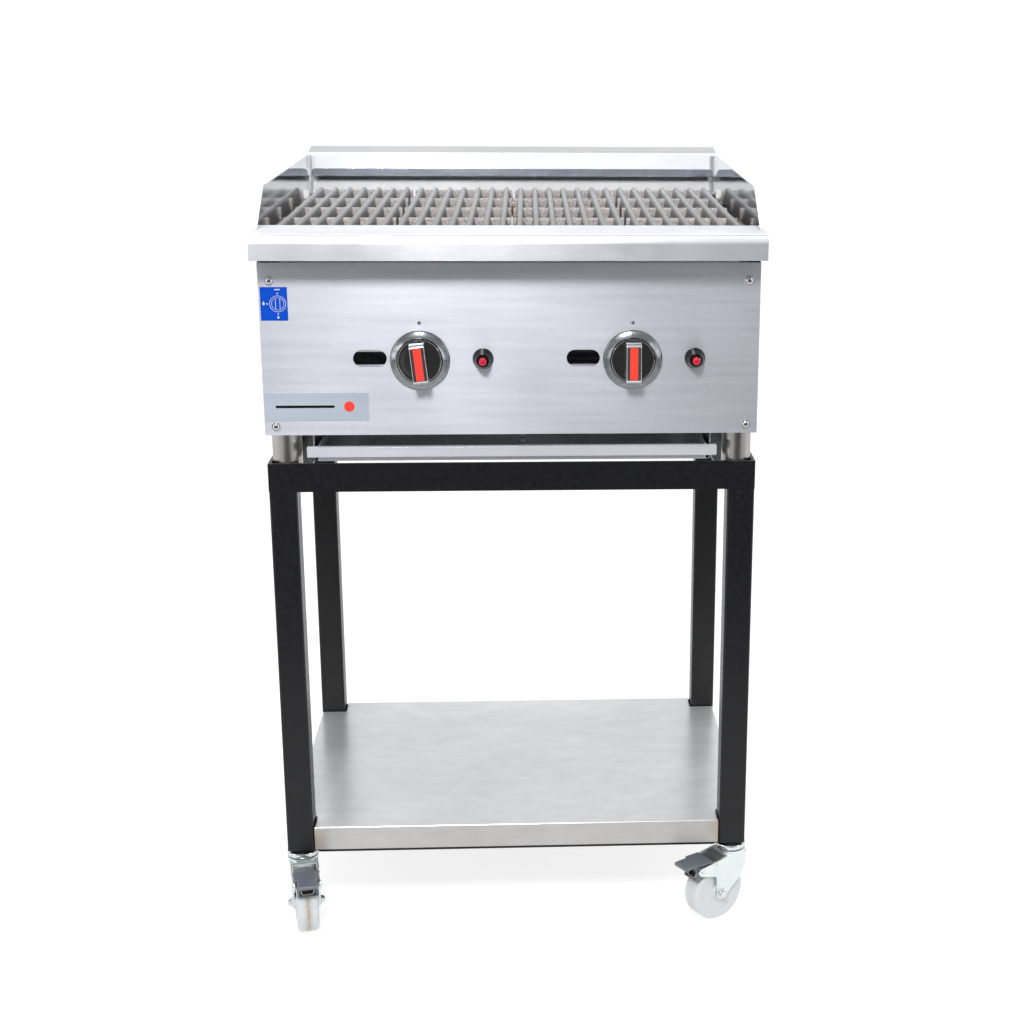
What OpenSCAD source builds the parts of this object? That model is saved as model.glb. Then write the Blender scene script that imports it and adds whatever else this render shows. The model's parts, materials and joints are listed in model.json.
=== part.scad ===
// Two-burner gas charbroiler grill standing on a wheeled steel stand.
// The origin is on the floor in the middle of the footprint. +Z is up and -Y is the front.
// All sizes are in millimetres.

/* [Grill body] */
// Width of the grill body
body_w = 610; // [600:1:616]
// Depth of the body from control panel to back
body_d = 575; // [560:1:590]
// Distance from the middle of the footprint forward to the control panel
panel_setback = 271.4; // [265:0.1:280]
// Height of the underside of the body above the floor
body_bottom = 678; // [676:1:682]
// Height of the control panel
panel_h = 212.4; // [210:0.1:214]
// Thickness of the stainless sheet
sheet = 1.5; // [1.2:0.1:1.8]
// Height of the side guards at their front corner, above the grate rest
guard_front_rise = 68; // [60:1:80]
// Height of the rear splash above the grate rest
splash_rise = 80; // [75:1:90]

/* [Front ledge] */
// How far the ledge stands out in front of the control panel
ledge_out = 45; // [40:1:50]
// Height of the ledge's front face
ledge_face_h = 27; // [24:1:30]
// Radius of the ledge's nose
ledge_nose_r = 12; // [8:1:12]

/* [Cast grates] */
// Bars on each of the four grates
bars_per_grate = 7; // [5:1:7]
// Distance from bar to bar
bar_pitch = 21; // [18:0.5:21]
// Width of a bar at its foot
bar_foot_w = 15.6; // [12:0.1:16]
// Radius of a bar's rounded ridge
bar_ridge_r = 3.8; // [3:0.1:4]
// Height of a bar
bar_h = 22; // [18:1:24]
// Length of a grate from front to back
grate_len = 462; // [440:1:464]
// Cross webs under the bars of each grate
grate_webs = 5; // [3:1:6]
// Slope of the grates, rising to the back
grate_slope = 1.2; // [0.5:0.1:1.3]

/* [Gas controls] */
// Sideways place of the left burner's knob
left_knob_x = -112.5; // [-120:0.5:-105]
// Sideways place of the right burner's knob
right_knob_x = 148.5; // [140:0.5:155]
// Height of the knobs' axes above the floor
knob_z = 771.5; // [765:0.5:775]
// Diameter of the bezel ring behind a knob
bezel_d = 73; // [70:1:76]
// Diameter of a knob's disc
knob_d = 54; // [50:1:56]
// How far the left knob is turned from its off position
left_knob_turn = 6; // [0:1:30]
// Distance from a knob's axis left to its lighting slot
slot_offset = 61; // [58:1:64]
// Length of a lighting slot
slot_l = 41; // [36:1:44]
// Height of a lighting slot
slot_h = 20.5; // [16:0.5:22]
// Distance from a knob's axis right to its igniter
igniter_offset = 77; // [72:1:82]
// Radius of the threaded gas inlet, a half-inch pipe thread
inlet_r = 10.48; // [10.48:0.01:10.5]

/* [Drip tray] */
// Width of the tray's front lip
tray_lip_w = 511; // [500:1:515]
// Width of the tray's pan
tray_pan_w = 486; // [470:1:488]
// Length of the tray's pan
tray_l = 488; // [440:1:500]

/* [Stand] */
// Width of the stand
stand_w = 612; // [606:1:612]
// Depth of the stand
stand_d = 442; // [430:1:460]
// Height of the top of the stand's frame
stand_top = 639; // [638:0.5:641]
// Height of the vertical flange of the frame's angle
angle_h = 36.5; // [35:0.5:40]
// Thickness of the frame's angle
angle_t = 4; // [3:0.5:4]
// Side of a square leg
leg_w = 35; // [34:1:36]
// Height of the undershelf's top
shelf_top = 141.5; // [138:0.5:150]
// Depth of the undershelf's folded edge
shelf_skirt = 32.5; // [30:0.5:33]

/* [Casters] */
// Height from the floor to the underside of a leg
caster_h = 108; // [107:0.5:109]
// Diameter of a wheel
wheel_d = 80; // [78:1:80]
// Width of a wheel's tread
wheel_w = 28; // [24:1:28]
// Distance from the swivel axis to the axle
caster_trail = 28; // [26:1:30]
// Heading of the front left caster, turned from straight ahead
front_left_heading = 11.5; // [-180:0.5:180]
// Heading of the front right caster
front_right_heading = -57; // [-180:0.5:180]
// Heading of the back left caster
back_left_heading = 160; // [-180:0.5:180]
// Heading of the back right caster
back_right_heading = 200; // [-180:0.5:360]

/* [Hidden] */

$fn = 48;
gap = 0.1;              // clearance between a piece and its neighbour
through = 1;            // how far a cut runs past the faces it opens

// Body
front_y = -panel_setback;
back_y = front_y + body_d;
half_w = body_w / 2;
inner_w = half_w - sheet;
flange_w = 15;
panel_top = body_bottom + panel_h;
rest_z = 907.9;         // top of the front grate rest
side_top = rest_z + 18;
firebox_x = 294;
firebox_front = front_y + 44;
firebox_back = front_y + 529;
firebox_bottom = 790;
splash_y = front_y + 533;
screw_x = half_w - 14;
screw_z = [body_bottom + 11, panel_top - 22];
screw_r = 2.5;
knob_xs = [left_knob_x, right_knob_x];
burner_x = 147;         // middle of each burner zone
radiant_z = 862;        // underside of the radiants
divider_h = 70;         // height of the divider between the zones
pilot_base = firebox_bottom + divider_h + gap;
pilot_ys = [firebox_front + 180, firebox_front + 313];
electrode_ys = [pilot_ys[0] - 14, pilot_ys[1] + 14];
pilot_tip_r = 2.4;

// Front ledge
ledge_half = half_w + 2;
ledge_bottom = panel_top + 7.6;
ledge_top = ledge_bottom + ledge_face_h + 4;
ledge_back_top = ledge_top + 2;
ledge_back = 40;
grate_front = front_y + ledge_back + 1.5;

// Controls
spindle_r = 4;
running = 0.1;          // radial clearance of a moving shaft
valve_front = front_y + 12;
valve_back = front_y + 50;
inlet_x = half_w - 45;
inlet_z = knob_z;
thread_l = 18;          // length of the inlet's thread
manifold_y = front_y + 76;
manifold_r = 13.35;
injector_z = 830;
disc_back = front_y - 6;
knob_front = front_y - 33;
insert_l = 39;          // coloured strip let into a knob
insert_w = 10.6;
collar_r = 12.7;
collar_h = 18;
button_r = 5.4;
neck_r = 9;

// Drip tray
tray_bottom = body_bottom - 36;
tray_top = tray_bottom + 19;

// Stand
stand_front = front_y + 10;
stand_back = stand_front + stand_d;
frame_bottom = stand_top - angle_h;
leg_x = stand_w / 2 - leg_w / 2;
leg_ys = [stand_front + leg_w / 2, stand_back - leg_w / 2];
leg_wall = 2;
foot_r = 18.5;
foot_x = stand_w / 2 - angle_t - foot_r - gap;
foot_ys = [stand_front + angle_t + foot_r + gap, stand_back - angle_t - foot_r - gap];
stud_r = 4.9;
shelf_sheet = 1.2;
lower_angle_t = 3;

// Casters
wheel_r = wheel_d / 2;
fork_t = 2.5;
fork_in = 32;           // width between the fork's plates
fork_out = fork_in + 2 * fork_t;
head_r = 20.5;
kingpin_r = 6;
axle_r = 4;
sleeve_r = 5.9;
fork_top = 95.6;        // top of the fork's crown
crown_z = 90;           // underside of the fork's top plate
pedal_trail = caster_trail + 33;
pedal_z = 80;
pedal_boss_r = 6;
pedal_body_w = 26.6;
pedal_wing_w = 34;      // the wings rest over the fork's arms
rivet = [37.5, 84.5];   // trail and height of the fork's rivet
rivet_r = 1.8;
axle_boss_r = 8.5;
pedal_pin_r = 2.5;
headings = [front_left_heading, front_right_heading, back_left_heading, back_right_heading];

// ---- Drawing helpers ----

// Extrudes an outline of (y, z) points along X, centred on X = 0.
module along_x(width) {
  rotate([90, 0, 90]) linear_extrude(width, center = true) children();
}

// Extrudes an outline of (x, z) points forward from the plane y.
module toward_front(y, depth) {
  translate([0, y, 0]) rotate([90, 0, 0]) linear_extrude(depth) children();
}

// A cylinder along Y from y to y + length.
module rod_y(x, y, z, r, length) {
  translate([x, y + length, z]) rotate([90, 0, 0]) cylinder(h = length, r = r);
}

// A box given by its lowest and highest corners.
module block(low, high) {
  translate(low) cube(high - low);
}

// A rectangle centred on the origin with round corners.
module round_rect(size, r) {
  square([size[0], size[1] - 2 * r], center = true);
  square([size[0] - 2 * r, size[1]], center = true);
  for (sx = [-1, 1], sy = [-1, 1])
    translate([sx * (size[0] / 2 - r), sy * (size[1] / 2 - r)]) circle(r);
}

// A slot with round ends, lying along X.
module obround(length, height) {
  square([length - height, height], center = true);
  for (s = [-1, 1]) translate([s * (length - height) / 2, 0]) circle(height / 2);
}

// ---- Grill body ----

module front_panel() {
  color("lightsteelblue") difference() {
    union() {
      block([-half_w, front_y, body_bottom], [half_w, front_y + sheet, panel_top]);
      for (z = [body_bottom, panel_top - sheet])
        block([-half_w + 26, front_y, z], [half_w - 26, front_y + 24, z + sheet]);
    }
    for (x = knob_xs) {
      rod_y(x, front_y - through, knob_z, neck_r, sheet + 2 * through);
      rod_y(x + igniter_offset, front_y - through, knob_z + 1.5, neck_r, sheet + 2 * through);
      toward_front(front_y + sheet + through, sheet + 2 * through)
        translate([x - slot_offset, knob_z + 2]) obround(slot_l, slot_h);
      // Small position mark above the knob
      rod_y(x, front_y - through, knob_z + 45.5, 1.5, through + 0.8);
    }
    for (s = [-1, 1], z = screw_z)
      rod_y(s * screw_x, front_y - through, z, screw_r + gap, sheet + 2 * through);
  }
}

// A button-head screw and its washer, with a hex socket.
module panel_screw(x, z) {
  difference() {
    union() {
      rod_y(x, front_y - 1, z, 5.6, 1);
      rod_y(x, front_y - 2.4, z, 4.6, 1.4);
      rod_y(x, front_y - 3.2, z, 3.6, 1);
      rod_y(x, front_y - 1, z, screw_r, 12);
    }
    translate([x, front_y - 1.6, z]) rotate([90, 0, 0]) cylinder(h = 4, r = 1.7, $fn = 6);
  }
}

module panel_screws() {
  color("silver") for (s = [-1, 1], z = screw_z) panel_screw(s * screw_x, z);
}

// Side skin with front, bottom and back flanges turned inward; side is -1 for the left.
module side_panel(side) {
  x_in = inner_w - flange_w;
  difference() {
    scale_side(side) union() {
      block([inner_w, front_y + sheet, body_bottom], [half_w, back_y, side_top]);
      block([x_in - 8, front_y + sheet, body_bottom + 2], [half_w, front_y + 2 * sheet, panel_top - 4]);
      block([x_in, front_y + sheet, body_bottom], [half_w, back_y, body_bottom + sheet]);
      block([x_in, back_y - sheet, body_bottom], [half_w, back_y, side_top]);
    }
    for (z = screw_z)
      rod_y(side * screw_x, front_y, z, screw_r + gap, 3 * sheet);
  }
}

// Mirrors a piece drawn for the right side when side is -1.
module scale_side(side) {
  if (side < 0) mirror([1, 0, 0]) children();
  else children();
}

module left_side_panel() { color("lightgray") side_panel(-1); }

module right_side_panel() { color("lightgray") side_panel(1); }

// Back skin inside the side panels' flanges, with vent slots and a hole for the gas inlet.
module rear_panel() {
  y = back_y - 2 * sheet - gap;
  vent_pitch = 26;
  color("lightgray") difference() {
    block([-inner_w + gap, y, body_bottom + 2 * sheet + gap], [inner_w - gap, y + sheet, side_top]);
    for (row = [0, 1], i = [-8 : 6])
      toward_front(y + sheet + through, sheet + 2 * through)
        translate([i * vent_pitch + 12, body_bottom + 150 + row * 40]) rotate(90) obround(28, 7);
    rod_y(inlet_x, y - through, inlet_z, inlet_r + 2, sheet + 2 * through);
  }
}

// Bottom sheet that carries the body on the feet; its opening lets fat fall into the drip tray.
module base_pan() {
  color("lightgray") difference() {
    block([-inner_w + gap, front_y + 25, body_bottom + sheet],
          [inner_w - gap, back_y - 5, body_bottom + 2 * sheet]);
    block([-225, front_y + 70, body_bottom], [225, front_y + 440, body_bottom + 3 * sheet]);
    for (s = [-1, 1], y = foot_ys)
      translate([s * foot_x, y, body_bottom]) cylinder(h = 3 * sheet, r = stud_r + gap);
  }
}

// Open-topped burner box with rests that carry the grates.
module firebox() {
  rest_depth = 40;
  back_rest = rest_z + tan(grate_slope) * (firebox_back - rest_depth - grate_front);
  color("gainsboro") difference() {
    union() {
      difference() {
        block([-firebox_x, firebox_front, firebox_bottom], [firebox_x, firebox_back, rest_z]);
        block([-firebox_x + sheet, firebox_front + sheet, firebox_bottom - through],
              [firebox_x - sheet, firebox_back - sheet, rest_z + through]);
      }
      // Front rest, back rest and the gutter flanges beside the grates
      block([-firebox_x, firebox_front, rest_z - sheet], [firebox_x, firebox_front + 14, rest_z]);
      block([-firebox_x, firebox_back - rest_depth, back_rest - sheet],
            [firebox_x, firebox_back, back_rest]);
      block([-firebox_x - 5, firebox_back - sheet, rest_z - sheet],
            [firebox_x + 5, firebox_back, rest_z + 25]);
      for (s = [-1, 1]) scale_side(s)
        block([firebox_x - sheet, firebox_front, rest_z - sheet],
              [inner_w - sheet - gap, firebox_back, rest_z]);
      // Cradles under the burners, the divider between the zones and legs down to the base sheet
      for (y = [firebox_front + 26, firebox_back - 60])
        block([-firebox_x, y, firebox_bottom], [firebox_x, y + 20, firebox_bottom + 2]);
      block([-sheet / 2, firebox_front + 26, firebox_bottom],
            [sheet / 2, firebox_back - rest_depth, firebox_bottom + divider_h]);
      for (s = [-1, 1], y = [firebox_front + 26, firebox_back - 60])
        block([s * firebox_x - (s > 0 ? 30 : 0), y, body_bottom + 2 * sheet],
              [s * firebox_x + (s > 0 ? 0 : 30), y + sheet, firebox_bottom + 1]);
      // Brackets that carry the radiants
      for (y = [firebox_front + sheet, firebox_back - sheet - 12])
        block([-firebox_x, y, radiant_z - 2], [firebox_x, y + 12, radiant_z]);
    }
    for (x = knob_xs)
      rod_y(x, firebox_front - through, injector_z, 18, sheet + 14 + 2 * through);
    // Clearance for the gas supply pipe
    rod_y(inlet_x, firebox_front, inlet_z, inlet_r + 3, firebox_back - firebox_front);
  }
}

// ---- Ledge, guards and splash ----

// Outline of the ledge, inset by t from its outer skin; open at the bottom when t is the sheet.
module ledge_outline(t) {
  drop = t > 0 ? through : 0;
  slope = (ledge_back_top - ledge_top) / (ledge_back + ledge_out - ledge_nose_r);
  translate([front_y, 0]) {
    polygon([
      [ledge_back - t, ledge_bottom + t],
      [ledge_back - t, ledge_back_top - t],
      [-ledge_out + ledge_nose_r, ledge_top - t],
      [-ledge_out + t, ledge_top - ledge_nose_r],
      [-ledge_out + t, ledge_bottom + t],
    ]);
    if (drop > 0)
      polygon([
        [ledge_back - t, ledge_bottom - drop],
        [ledge_back - t, ledge_bottom + 2 * t],
        [-ledge_out + 11, ledge_bottom + 2 * t],
        [-ledge_out + 11, ledge_bottom - drop],
      ]);
    translate([-ledge_out + ledge_nose_r, ledge_top - ledge_nose_r]) circle(ledge_nose_r - t);
  }
}

module front_ledge() {
  color("whitesmoke") difference() {
    along_x(2 * ledge_half) ledge_outline(0);
    along_x(2 * (ledge_half - sheet)) ledge_outline(sheet);
    // Notches that let the ledge's back wall sit over the side panels
    for (s = [-1, 1]) scale_side(s)
      block([inner_w - gap, front_y + ledge_back - 2 * sheet, ledge_bottom - through],
            [ledge_half - sheet, front_y + ledge_back + through, side_top + gap]);
  }
}

// Side guard beside the grates; its front corner slopes down to the ledge.
module splash_guard(side) {
  top_front = rest_z + guard_front_rise;
  top_back = rest_z + splash_rise - 2.4;
  bottom = rest_z + gap;
  scale_side(side) translate([inner_w - sheet / 2, 0, 0]) along_x(sheet)
    polygon([
      [front_y + ledge_back + gap, bottom],
      [splash_y - gap, bottom],
      [splash_y - gap, top_back],
      [front_y + 64, top_front],
      [front_y + 2, ledge_back_top + 1.5],
      [front_y, ledge_back_top + 0.2],
      [front_y + ledge_back + gap, ledge_back_top + 0.2],
    ]);
}

module left_splash_guard() { color("silver") splash_guard(-1); }

module right_splash_guard() { color("silver") splash_guard(1); }

// Outline of the splash and flue box, inset by t from its outer skin.
module splash_outline(t) {
  top = rest_z + splash_rise;
  polygon([
    [splash_y + t, side_top + (t > 0 ? -through : gap)],
    [splash_y + t, top - t * 0.8],
    [back_y - 5 - t * 0.3, top + 7 - t],
    [back_y - t, top + 3 - t],
    [back_y - t, side_top + (t > 0 ? -through : gap)],
  ]);
}

module rear_splash_guard() {
  slot_low = rest_z + 39.5;
  color("whitesmoke") difference() {
    along_x(body_w) splash_outline(0);
    along_x(body_w - 2 * sheet) splash_outline(sheet);
    // Flue slot under the deflector
    block([-half_w + 12, splash_y - through, slot_low],
          [half_w - 12, splash_y + sheet + through, slot_low + 6]);
  }
}

// Strip that throws the flue gases forward: a shelf out from the splash and a lip turned up.
module flue_deflector() {
  low = rest_z + 46.5;
  lip_h = 11;
  lip_y = splash_y - 18;
  width = body_w - 12;
  corner = 6;
  color("slategray") union() {
    block([-width / 2, lip_y, low], [width / 2, splash_y - gap / 2, low + sheet]);
    toward_front(lip_y + sheet, sheet) translate([0, low]) difference() {
      union() {
        translate([-width / 2, 0]) square([width, lip_h - corner]);
        translate([-width / 2 + corner, 0]) square([width - 2 * corner, lip_h]);
        for (s = [-1, 1]) translate([s * (width / 2 - corner), lip_h - corner]) circle(corner);
      }
      translate([-width, -2 * corner]) square([2 * width, 2 * corner]);
    }
  }
}

// ---- Grates, radiants and burners ----

// Cross-section of one bar: a steep wedge with a rounded ridge.
module bar_section() {
  ridge = bar_h - bar_ridge_r;
  polygon([
    [-bar_foot_w / 2, 0],
    [bar_foot_w / 2, 0],
    [bar_ridge_r, ridge],
    [-bar_ridge_r, ridge],
  ]);
  translate([0, ridge]) circle(bar_ridge_r);
}

// Outline of what is sloped off a bar's end at 45 degrees.
module end_slope(size) {
  polygon([
    [-through, bar_h - size],
    [0, bar_h - size],
    [size, bar_h],
    [size, bar_h + through],
    [-through, bar_h + through],
  ]);
}

// One cast grate; number runs from 1 at the left to 4 at the right.
module grate(number) {
  grate_w = bars_per_grate * bar_pitch;
  web_t = 6;
  web_h = bar_h - 4;
  side_gap = 3;
  front_bevel = 9;
  back_bevel = 3;
  first = -(bars_per_grate - 1) / 2;
  web_step = (grate_len - web_t) / (grate_webs - 1);
  translate([(number - 2.5) * grate_w, grate_front, rest_z + gap]) rotate([grate_slope, 0, 0]) {
    for (i = [0 : bars_per_grate - 1])
      translate([(first + i) * bar_pitch, 0, 0]) difference() {
        translate([0, grate_len, 0]) rotate([90, 0, 0]) linear_extrude(grate_len) bar_section();
        // Both ends of the ridge are sloped off
        along_x(2 * bar_foot_w) end_slope(front_bevel);
        translate([0, grate_len, 0]) mirror([0, 1, 0]) along_x(2 * bar_foot_w) end_slope(back_bevel);
      }
    for (w = [0 : grate_webs - 1])
      translate([0, w * web_step + web_t / 2, web_h / 2])
        cube([grate_w - side_gap, web_t, w == 0 ? web_h - 7 : web_h], center = true);
  }
}

module grate_1() { color("gray") grate(1); }

module grate_2() { color("gray") grate(2); }

module grate_3() { color("gray") grate(3); }

module grate_4() { color("gray") grate(4); }

// Folded heat spreader with two ridges over the burner's two arms.
module radiant(side) {
  half = 136;
  rise = 24;
  t = 2;
  slot_step = 40;
  low = radiant_z + gap;
  steps = [for (i = [-2 : 2]) [i * half / 2, abs(i) == 1 ? rise : 0]];
  upper = [for (p = steps) [p[0], p[1] + t * 1.1]];
  color("dimgray") translate([side * (burner_x - 1), 0, low]) difference() {
    toward_front(firebox_back - 4, firebox_back - firebox_front - 8)
      polygon(concat(steps, [for (i = [4 : -1 : 0]) upper[i]]));
    for (x = [-1.5, -0.5, 0.5, 1.5], i = [1 : 10])
      translate([x * half / 2, firebox_front + 10 + i * slot_step, -through])
        cube([14, 6, 3 * rise], center = true);
  }
}

module left_radiant() { radiant(-1); }

module right_radiant() { radiant(1); }

// Cast burner: two arms joined by a header, fed through a venturi in line with the valve.
module burner(side, inlet) {
  r = 16;
  header_r = 14.5;
  wall = 3;
  arm_gap = 60;
  header_y = firebox_front + 42;
  arm_start = header_y - r - 3;
  arm_l = 400;
  port_step = 22;
  color("dimgray") difference() {
    union() {
      for (s = [-1, 1]) rod_y(side * burner_x + s * arm_gap, arm_start, injector_z, r, arm_l);
      translate([side * burner_x, header_y, injector_z]) rotate([0, 90, 0])
        cylinder(h = 2 * arm_gap, r = header_r, center = true);
      rod_y(inlet, firebox_front - 4, injector_z, 13, 40);
      rod_y(inlet, firebox_front - 6, injector_z, 17, 6);
      // Feet that stand in the firebox's cradles
      for (s = [-1, 1], y = [firebox_front + 28, firebox_back - 58])
        block([side * burner_x + s * arm_gap - 8, y, firebox_bottom + 2 + gap],
              [side * burner_x + s * arm_gap + 8, y + 12, injector_z]);
    }
    for (s = [-1, 1])
      rod_y(side * burner_x + s * arm_gap, arm_start + wall, injector_z, r - wall, arm_l - 2 * wall);
    translate([side * burner_x, header_y, injector_z]) rotate([0, 90, 0])
      cylinder(h = 2 * arm_gap, r = header_r - wall, center = true);
    rod_y(inlet, firebox_front - 8, injector_z, 10, 44);
    for (s = [-1, 1], i = [1 : 16])
      translate([side * burner_x + s * arm_gap, header_y + i * port_step, injector_z])
        cylinder(h = 20, r = 1.6);
  }
}

module left_burner() { burner(-1, left_knob_x); }

module right_burner() { burner(1, right_knob_x); }

// Standing pilots on the zone divider, one for each burner. The slim tips reach up
// between the two middle grates and are narrow enough for either grate to lift past them.
module pilot_burners() {
  color("peru") for (y = pilot_ys) {
    block([-6, y - 8, pilot_base], [6, y + 8, pilot_base + 1.5]);
    translate([0, y, pilot_base]) cylinder(h = 34, r = 5);
    translate([0, y, pilot_base + 33]) cylinder(h = 30, r = 1.6);
    translate([0, y, pilot_base + 57]) cylinder(h = 8, r = pilot_tip_r);
  }
}

// Ceramic spark electrode beside each pilot.
module pilot_electrodes() {
  color("white") for (y = electrode_ys) {
    translate([0, y, pilot_base]) cylinder(h = 62, r = pilot_tip_r);
    translate([0, y, pilot_base + 61]) cylinder(h = 4, r = 0.8);
  }
}

// ---- Gas train ----

// Manifold behind the panel and the supply pipe that ends in the threaded inlet at the back.
module gas_manifold() {
  left_end = left_knob_x - 40;
  x = inlet_x;
  inlet_end = back_y + 30;
  color("darkgray") difference() {
    union() {
      translate([left_end, manifold_y, knob_z]) rotate([0, 90, 0])
        cylinder(h = x - left_end, r = manifold_r);
      translate([x, manifold_y, knob_z]) sphere(manifold_r);
      rod_y(x, manifold_y, inlet_z, inlet_r - 0.8, inlet_end - manifold_y);
      rod_y(x, inlet_end - thread_l, inlet_z, inlet_r, thread_l);
      // Inlet hexagon inside the back panel
      translate([x, back_y - 10, inlet_z]) rotate([90, 0, 0]) cylinder(h = 14, r = 15, $fn = 6);
      for (k = knob_xs) rod_y(k, valve_back + gap, knob_z, 9, manifold_y - valve_back);
    }
    rod_y(x, manifold_y, inlet_z, 7.5, inlet_end - manifold_y + through);
  }
}

// Tap body with its spindle bore, spring chamber and outlet riser to the injector elbow.
module gas_valve(x) {
  difference() {
    union() {
      rod_y(x, valve_front, knob_z, 14, 26);
      rod_y(x, valve_front + 20, knob_z, 11, valve_back - valve_front - 20);
      block([x - 5, valve_front + 8, knob_z], [x + 5, valve_front + 18, injector_z - 8]);
      block([x - 8, valve_front + 4, injector_z - 9], [x + 8, valve_front + 20, injector_z + 9]);
    }
    rod_y(x, valve_front - through, knob_z, spindle_r + running, 34 + through);
    rod_y(x, valve_front + 4, knob_z, 10, 18);
    rod_y(x, valve_front + 12, injector_z, 3.1, 10);
  }
}

module gas_valves() { color("goldenrod") for (x = knob_xs) gas_valve(x); }

// Spring collar that slides in the tap when the knob is pushed.
module valve_plunger(x) {
  color("gray") difference() {
    rod_y(x, valve_front + 9, knob_z, 9.8, 4);
    rod_y(x, valve_front + 9 - through, knob_z, spindle_r + running, 4 + 2 * through);
  }
}

module left_valve_plunger() { valve_plunger(left_knob_x); }

module right_valve_plunger() { valve_plunger(right_knob_x); }

// Spindle from the tap's plug out through the panel, with a flat for the knob.
module valve_spindle(x) {
  color("silver") difference() {
    rod_y(x, front_y - 24, knob_z, spindle_r, 56);
    block([x - 5, front_y - 25, knob_z + 2.5], [x + 5, front_y - 9, knob_z + 5]);
  }
}

module left_valve_spindle() { valve_spindle(left_knob_x); }

module right_valve_spindle() { valve_spindle(right_knob_x); }

// Dished ring on the panel round each knob.
module knob_bezel(x) {
  ring_h = 7;
  well_r = knob_d / 2 + 1;
  translate([x, front_y, knob_z]) rotate([90, 0, 0]) difference() {
    rotate_extrude($fn = 96) polygon([
      [neck_r + 1, 0],
      [bezel_d / 2, 0],
      [bezel_d / 2, 2.5],
      [bezel_d / 2 - 2, 4.5],
      [well_r + 1, ring_h],
      [well_r, ring_h],
      [well_r, 1.2],
      [neck_r + 1, 1.2],
    ]);
  }
}

module knob_bezels() { color("silver") for (x = knob_xs) knob_bezel(x); }

// Side outline of the grip: (distance in front of the disc, height) points.
module grip_outline() {
  base = knob_d / 2 - 1.5;
  tip = 23;
  reach = disc_back - 4 - knob_front;
  polygon([[0, -base], [reach, -tip], [reach, tip], [0, base]]);
}

// Knob with a round disc and a tapered grip bar; turn is its angle from off.
module knob(x, turn) {
  disc_t = 5;
  grip_w = 19;
  color("silver") difference() {
    translate([x, disc_back, knob_z]) rotate([0, -turn, 0]) difference() {
      union() {
        rotate([90, 0, 0]) cylinder(h = disc_t, r = knob_d / 2, $fn = 96);
        translate([0, -disc_t + 1, 0]) rotate([90, 0, -90])
          linear_extrude(grip_w, center = true) grip_outline();
        rotate([90, 0, 0]) cylinder(h = 14, r = 8);
      }
      translate([-insert_w / 2, knob_front - disc_back - through, -insert_l / 2])
        cube([insert_w, through + 1.2, insert_l]);
      // Taper of the grip's flanks toward its front
      for (s = [-1, 1]) scale_side(s)
        translate([0, -disc_t, -30]) linear_extrude(60)
          polygon([[grip_w / 2, 0], [grip_w / 2 + 3, 0], [grip_w / 2 + 3, -30], [grip_w / 2 - 1.4, -30]]);
    }
    difference() {
      rod_y(x, front_y - 24, knob_z, spindle_r, 24);
      block([x - 5, front_y - 25, knob_z + 2.5], [x + 5, front_y - 9, knob_z + 5]);
    }
  }
}

module left_knob() { knob(left_knob_x, left_knob_turn); }

module right_knob() { knob(right_knob_x, 0); }

// Coloured strip let into the grip's front.
module knob_insert(x, turn) {
  color("tomato") translate([x, disc_back, knob_z]) rotate([0, -turn, 0])
    translate([-insert_w / 2 + gap, knob_front - disc_back - 0.3, -insert_l / 2 + gap])
      cube([insert_w - 2 * gap, 1.5, insert_l - 2 * gap]);
}

module left_knob_insert() { knob_insert(left_knob_x, left_knob_turn); }

module right_knob_insert() { knob_insert(right_knob_x, 0); }

// Spark igniter: a tapered collar in front of the panel and its barrel and nut behind.
module igniter_body(x) {
  translate([x, front_y, knob_z + 1.5]) rotate([90, 0, 0]) difference() {
    union() {
      cylinder(h = collar_h, r1 = collar_r, r2 = button_r + 1.6);
      translate([0, 0, -34]) cylinder(h = 34 + gap, r = neck_r - gap);
      translate([0, 0, -sheet - 6]) cylinder(h = 6, r = 12, $fn = 6);
    }
    translate([0, 0, -22]) cylinder(h = 60, r = button_r + gap);
  }
}

module igniter_bodies() {
  color([0.1, 0.1, 0.1]) for (x = knob_xs) igniter_body(x + igniter_offset);
}

// Push button that slides in the igniter's collar.
module igniter_button(x) {
  length = 34;
  stand_out = collar_h + 8;
  color("crimson")
    translate([x + igniter_offset, front_y - stand_out + length, knob_z + 1.5]) rotate([90, 0, 0]) {
      cylinder(h = length - 1, r = button_r);
      translate([0, 0, length - 1]) cylinder(h = 1, r1 = button_r, r2 = button_r - 1);
    }
}

module left_igniter_button() { igniter_button(left_knob_x); }

module right_igniter_button() { igniter_button(right_knob_x); }

// Brass jets that blow into the burners' venturis.
module gas_injectors() {
  color("gold") for (x = knob_xs) {
    rod_y(x, valve_front + 13, injector_z, 3, 9);
    translate([x, valve_front + 25, injector_z]) rotate([90, 0, 0]) cylinder(h = 5 - gap, r = 6, $fn = 6);
    rod_y(x, valve_front + 21, injector_z, 3.5, 8);
  }
}

// ---- Drip tray, runners, feet and labels ----

module drip_tray() {
  t = 1.2;
  lip_drop = 12.4;
  half = tray_pan_w / 2;
  y0 = front_y + 12;
  lip_y = front_y + 4;
  color("gray") union() {
    difference() {
      block([-half, y0, tray_bottom], [half, y0 + tray_l, tray_top]);
      block([-half + t, y0 + t, tray_bottom + t], [half - t, y0 + tray_l - t, tray_top + through]);
    }
    // Folded front lip, wider than the pan, that serves as the pull
    block([-tray_lip_w / 2, y0 - 0.5, tray_top - lip_drop], [tray_lip_w / 2, y0 + t - 0.5, tray_top]);
    block([-tray_lip_w / 2, lip_y, tray_top - t], [tray_lip_w / 2, y0, tray_top]);
    block([-tray_lip_w / 2, lip_y, tray_top - lip_drop], [tray_lip_w / 2, lip_y + t, tray_top]);
  }
}

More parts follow.
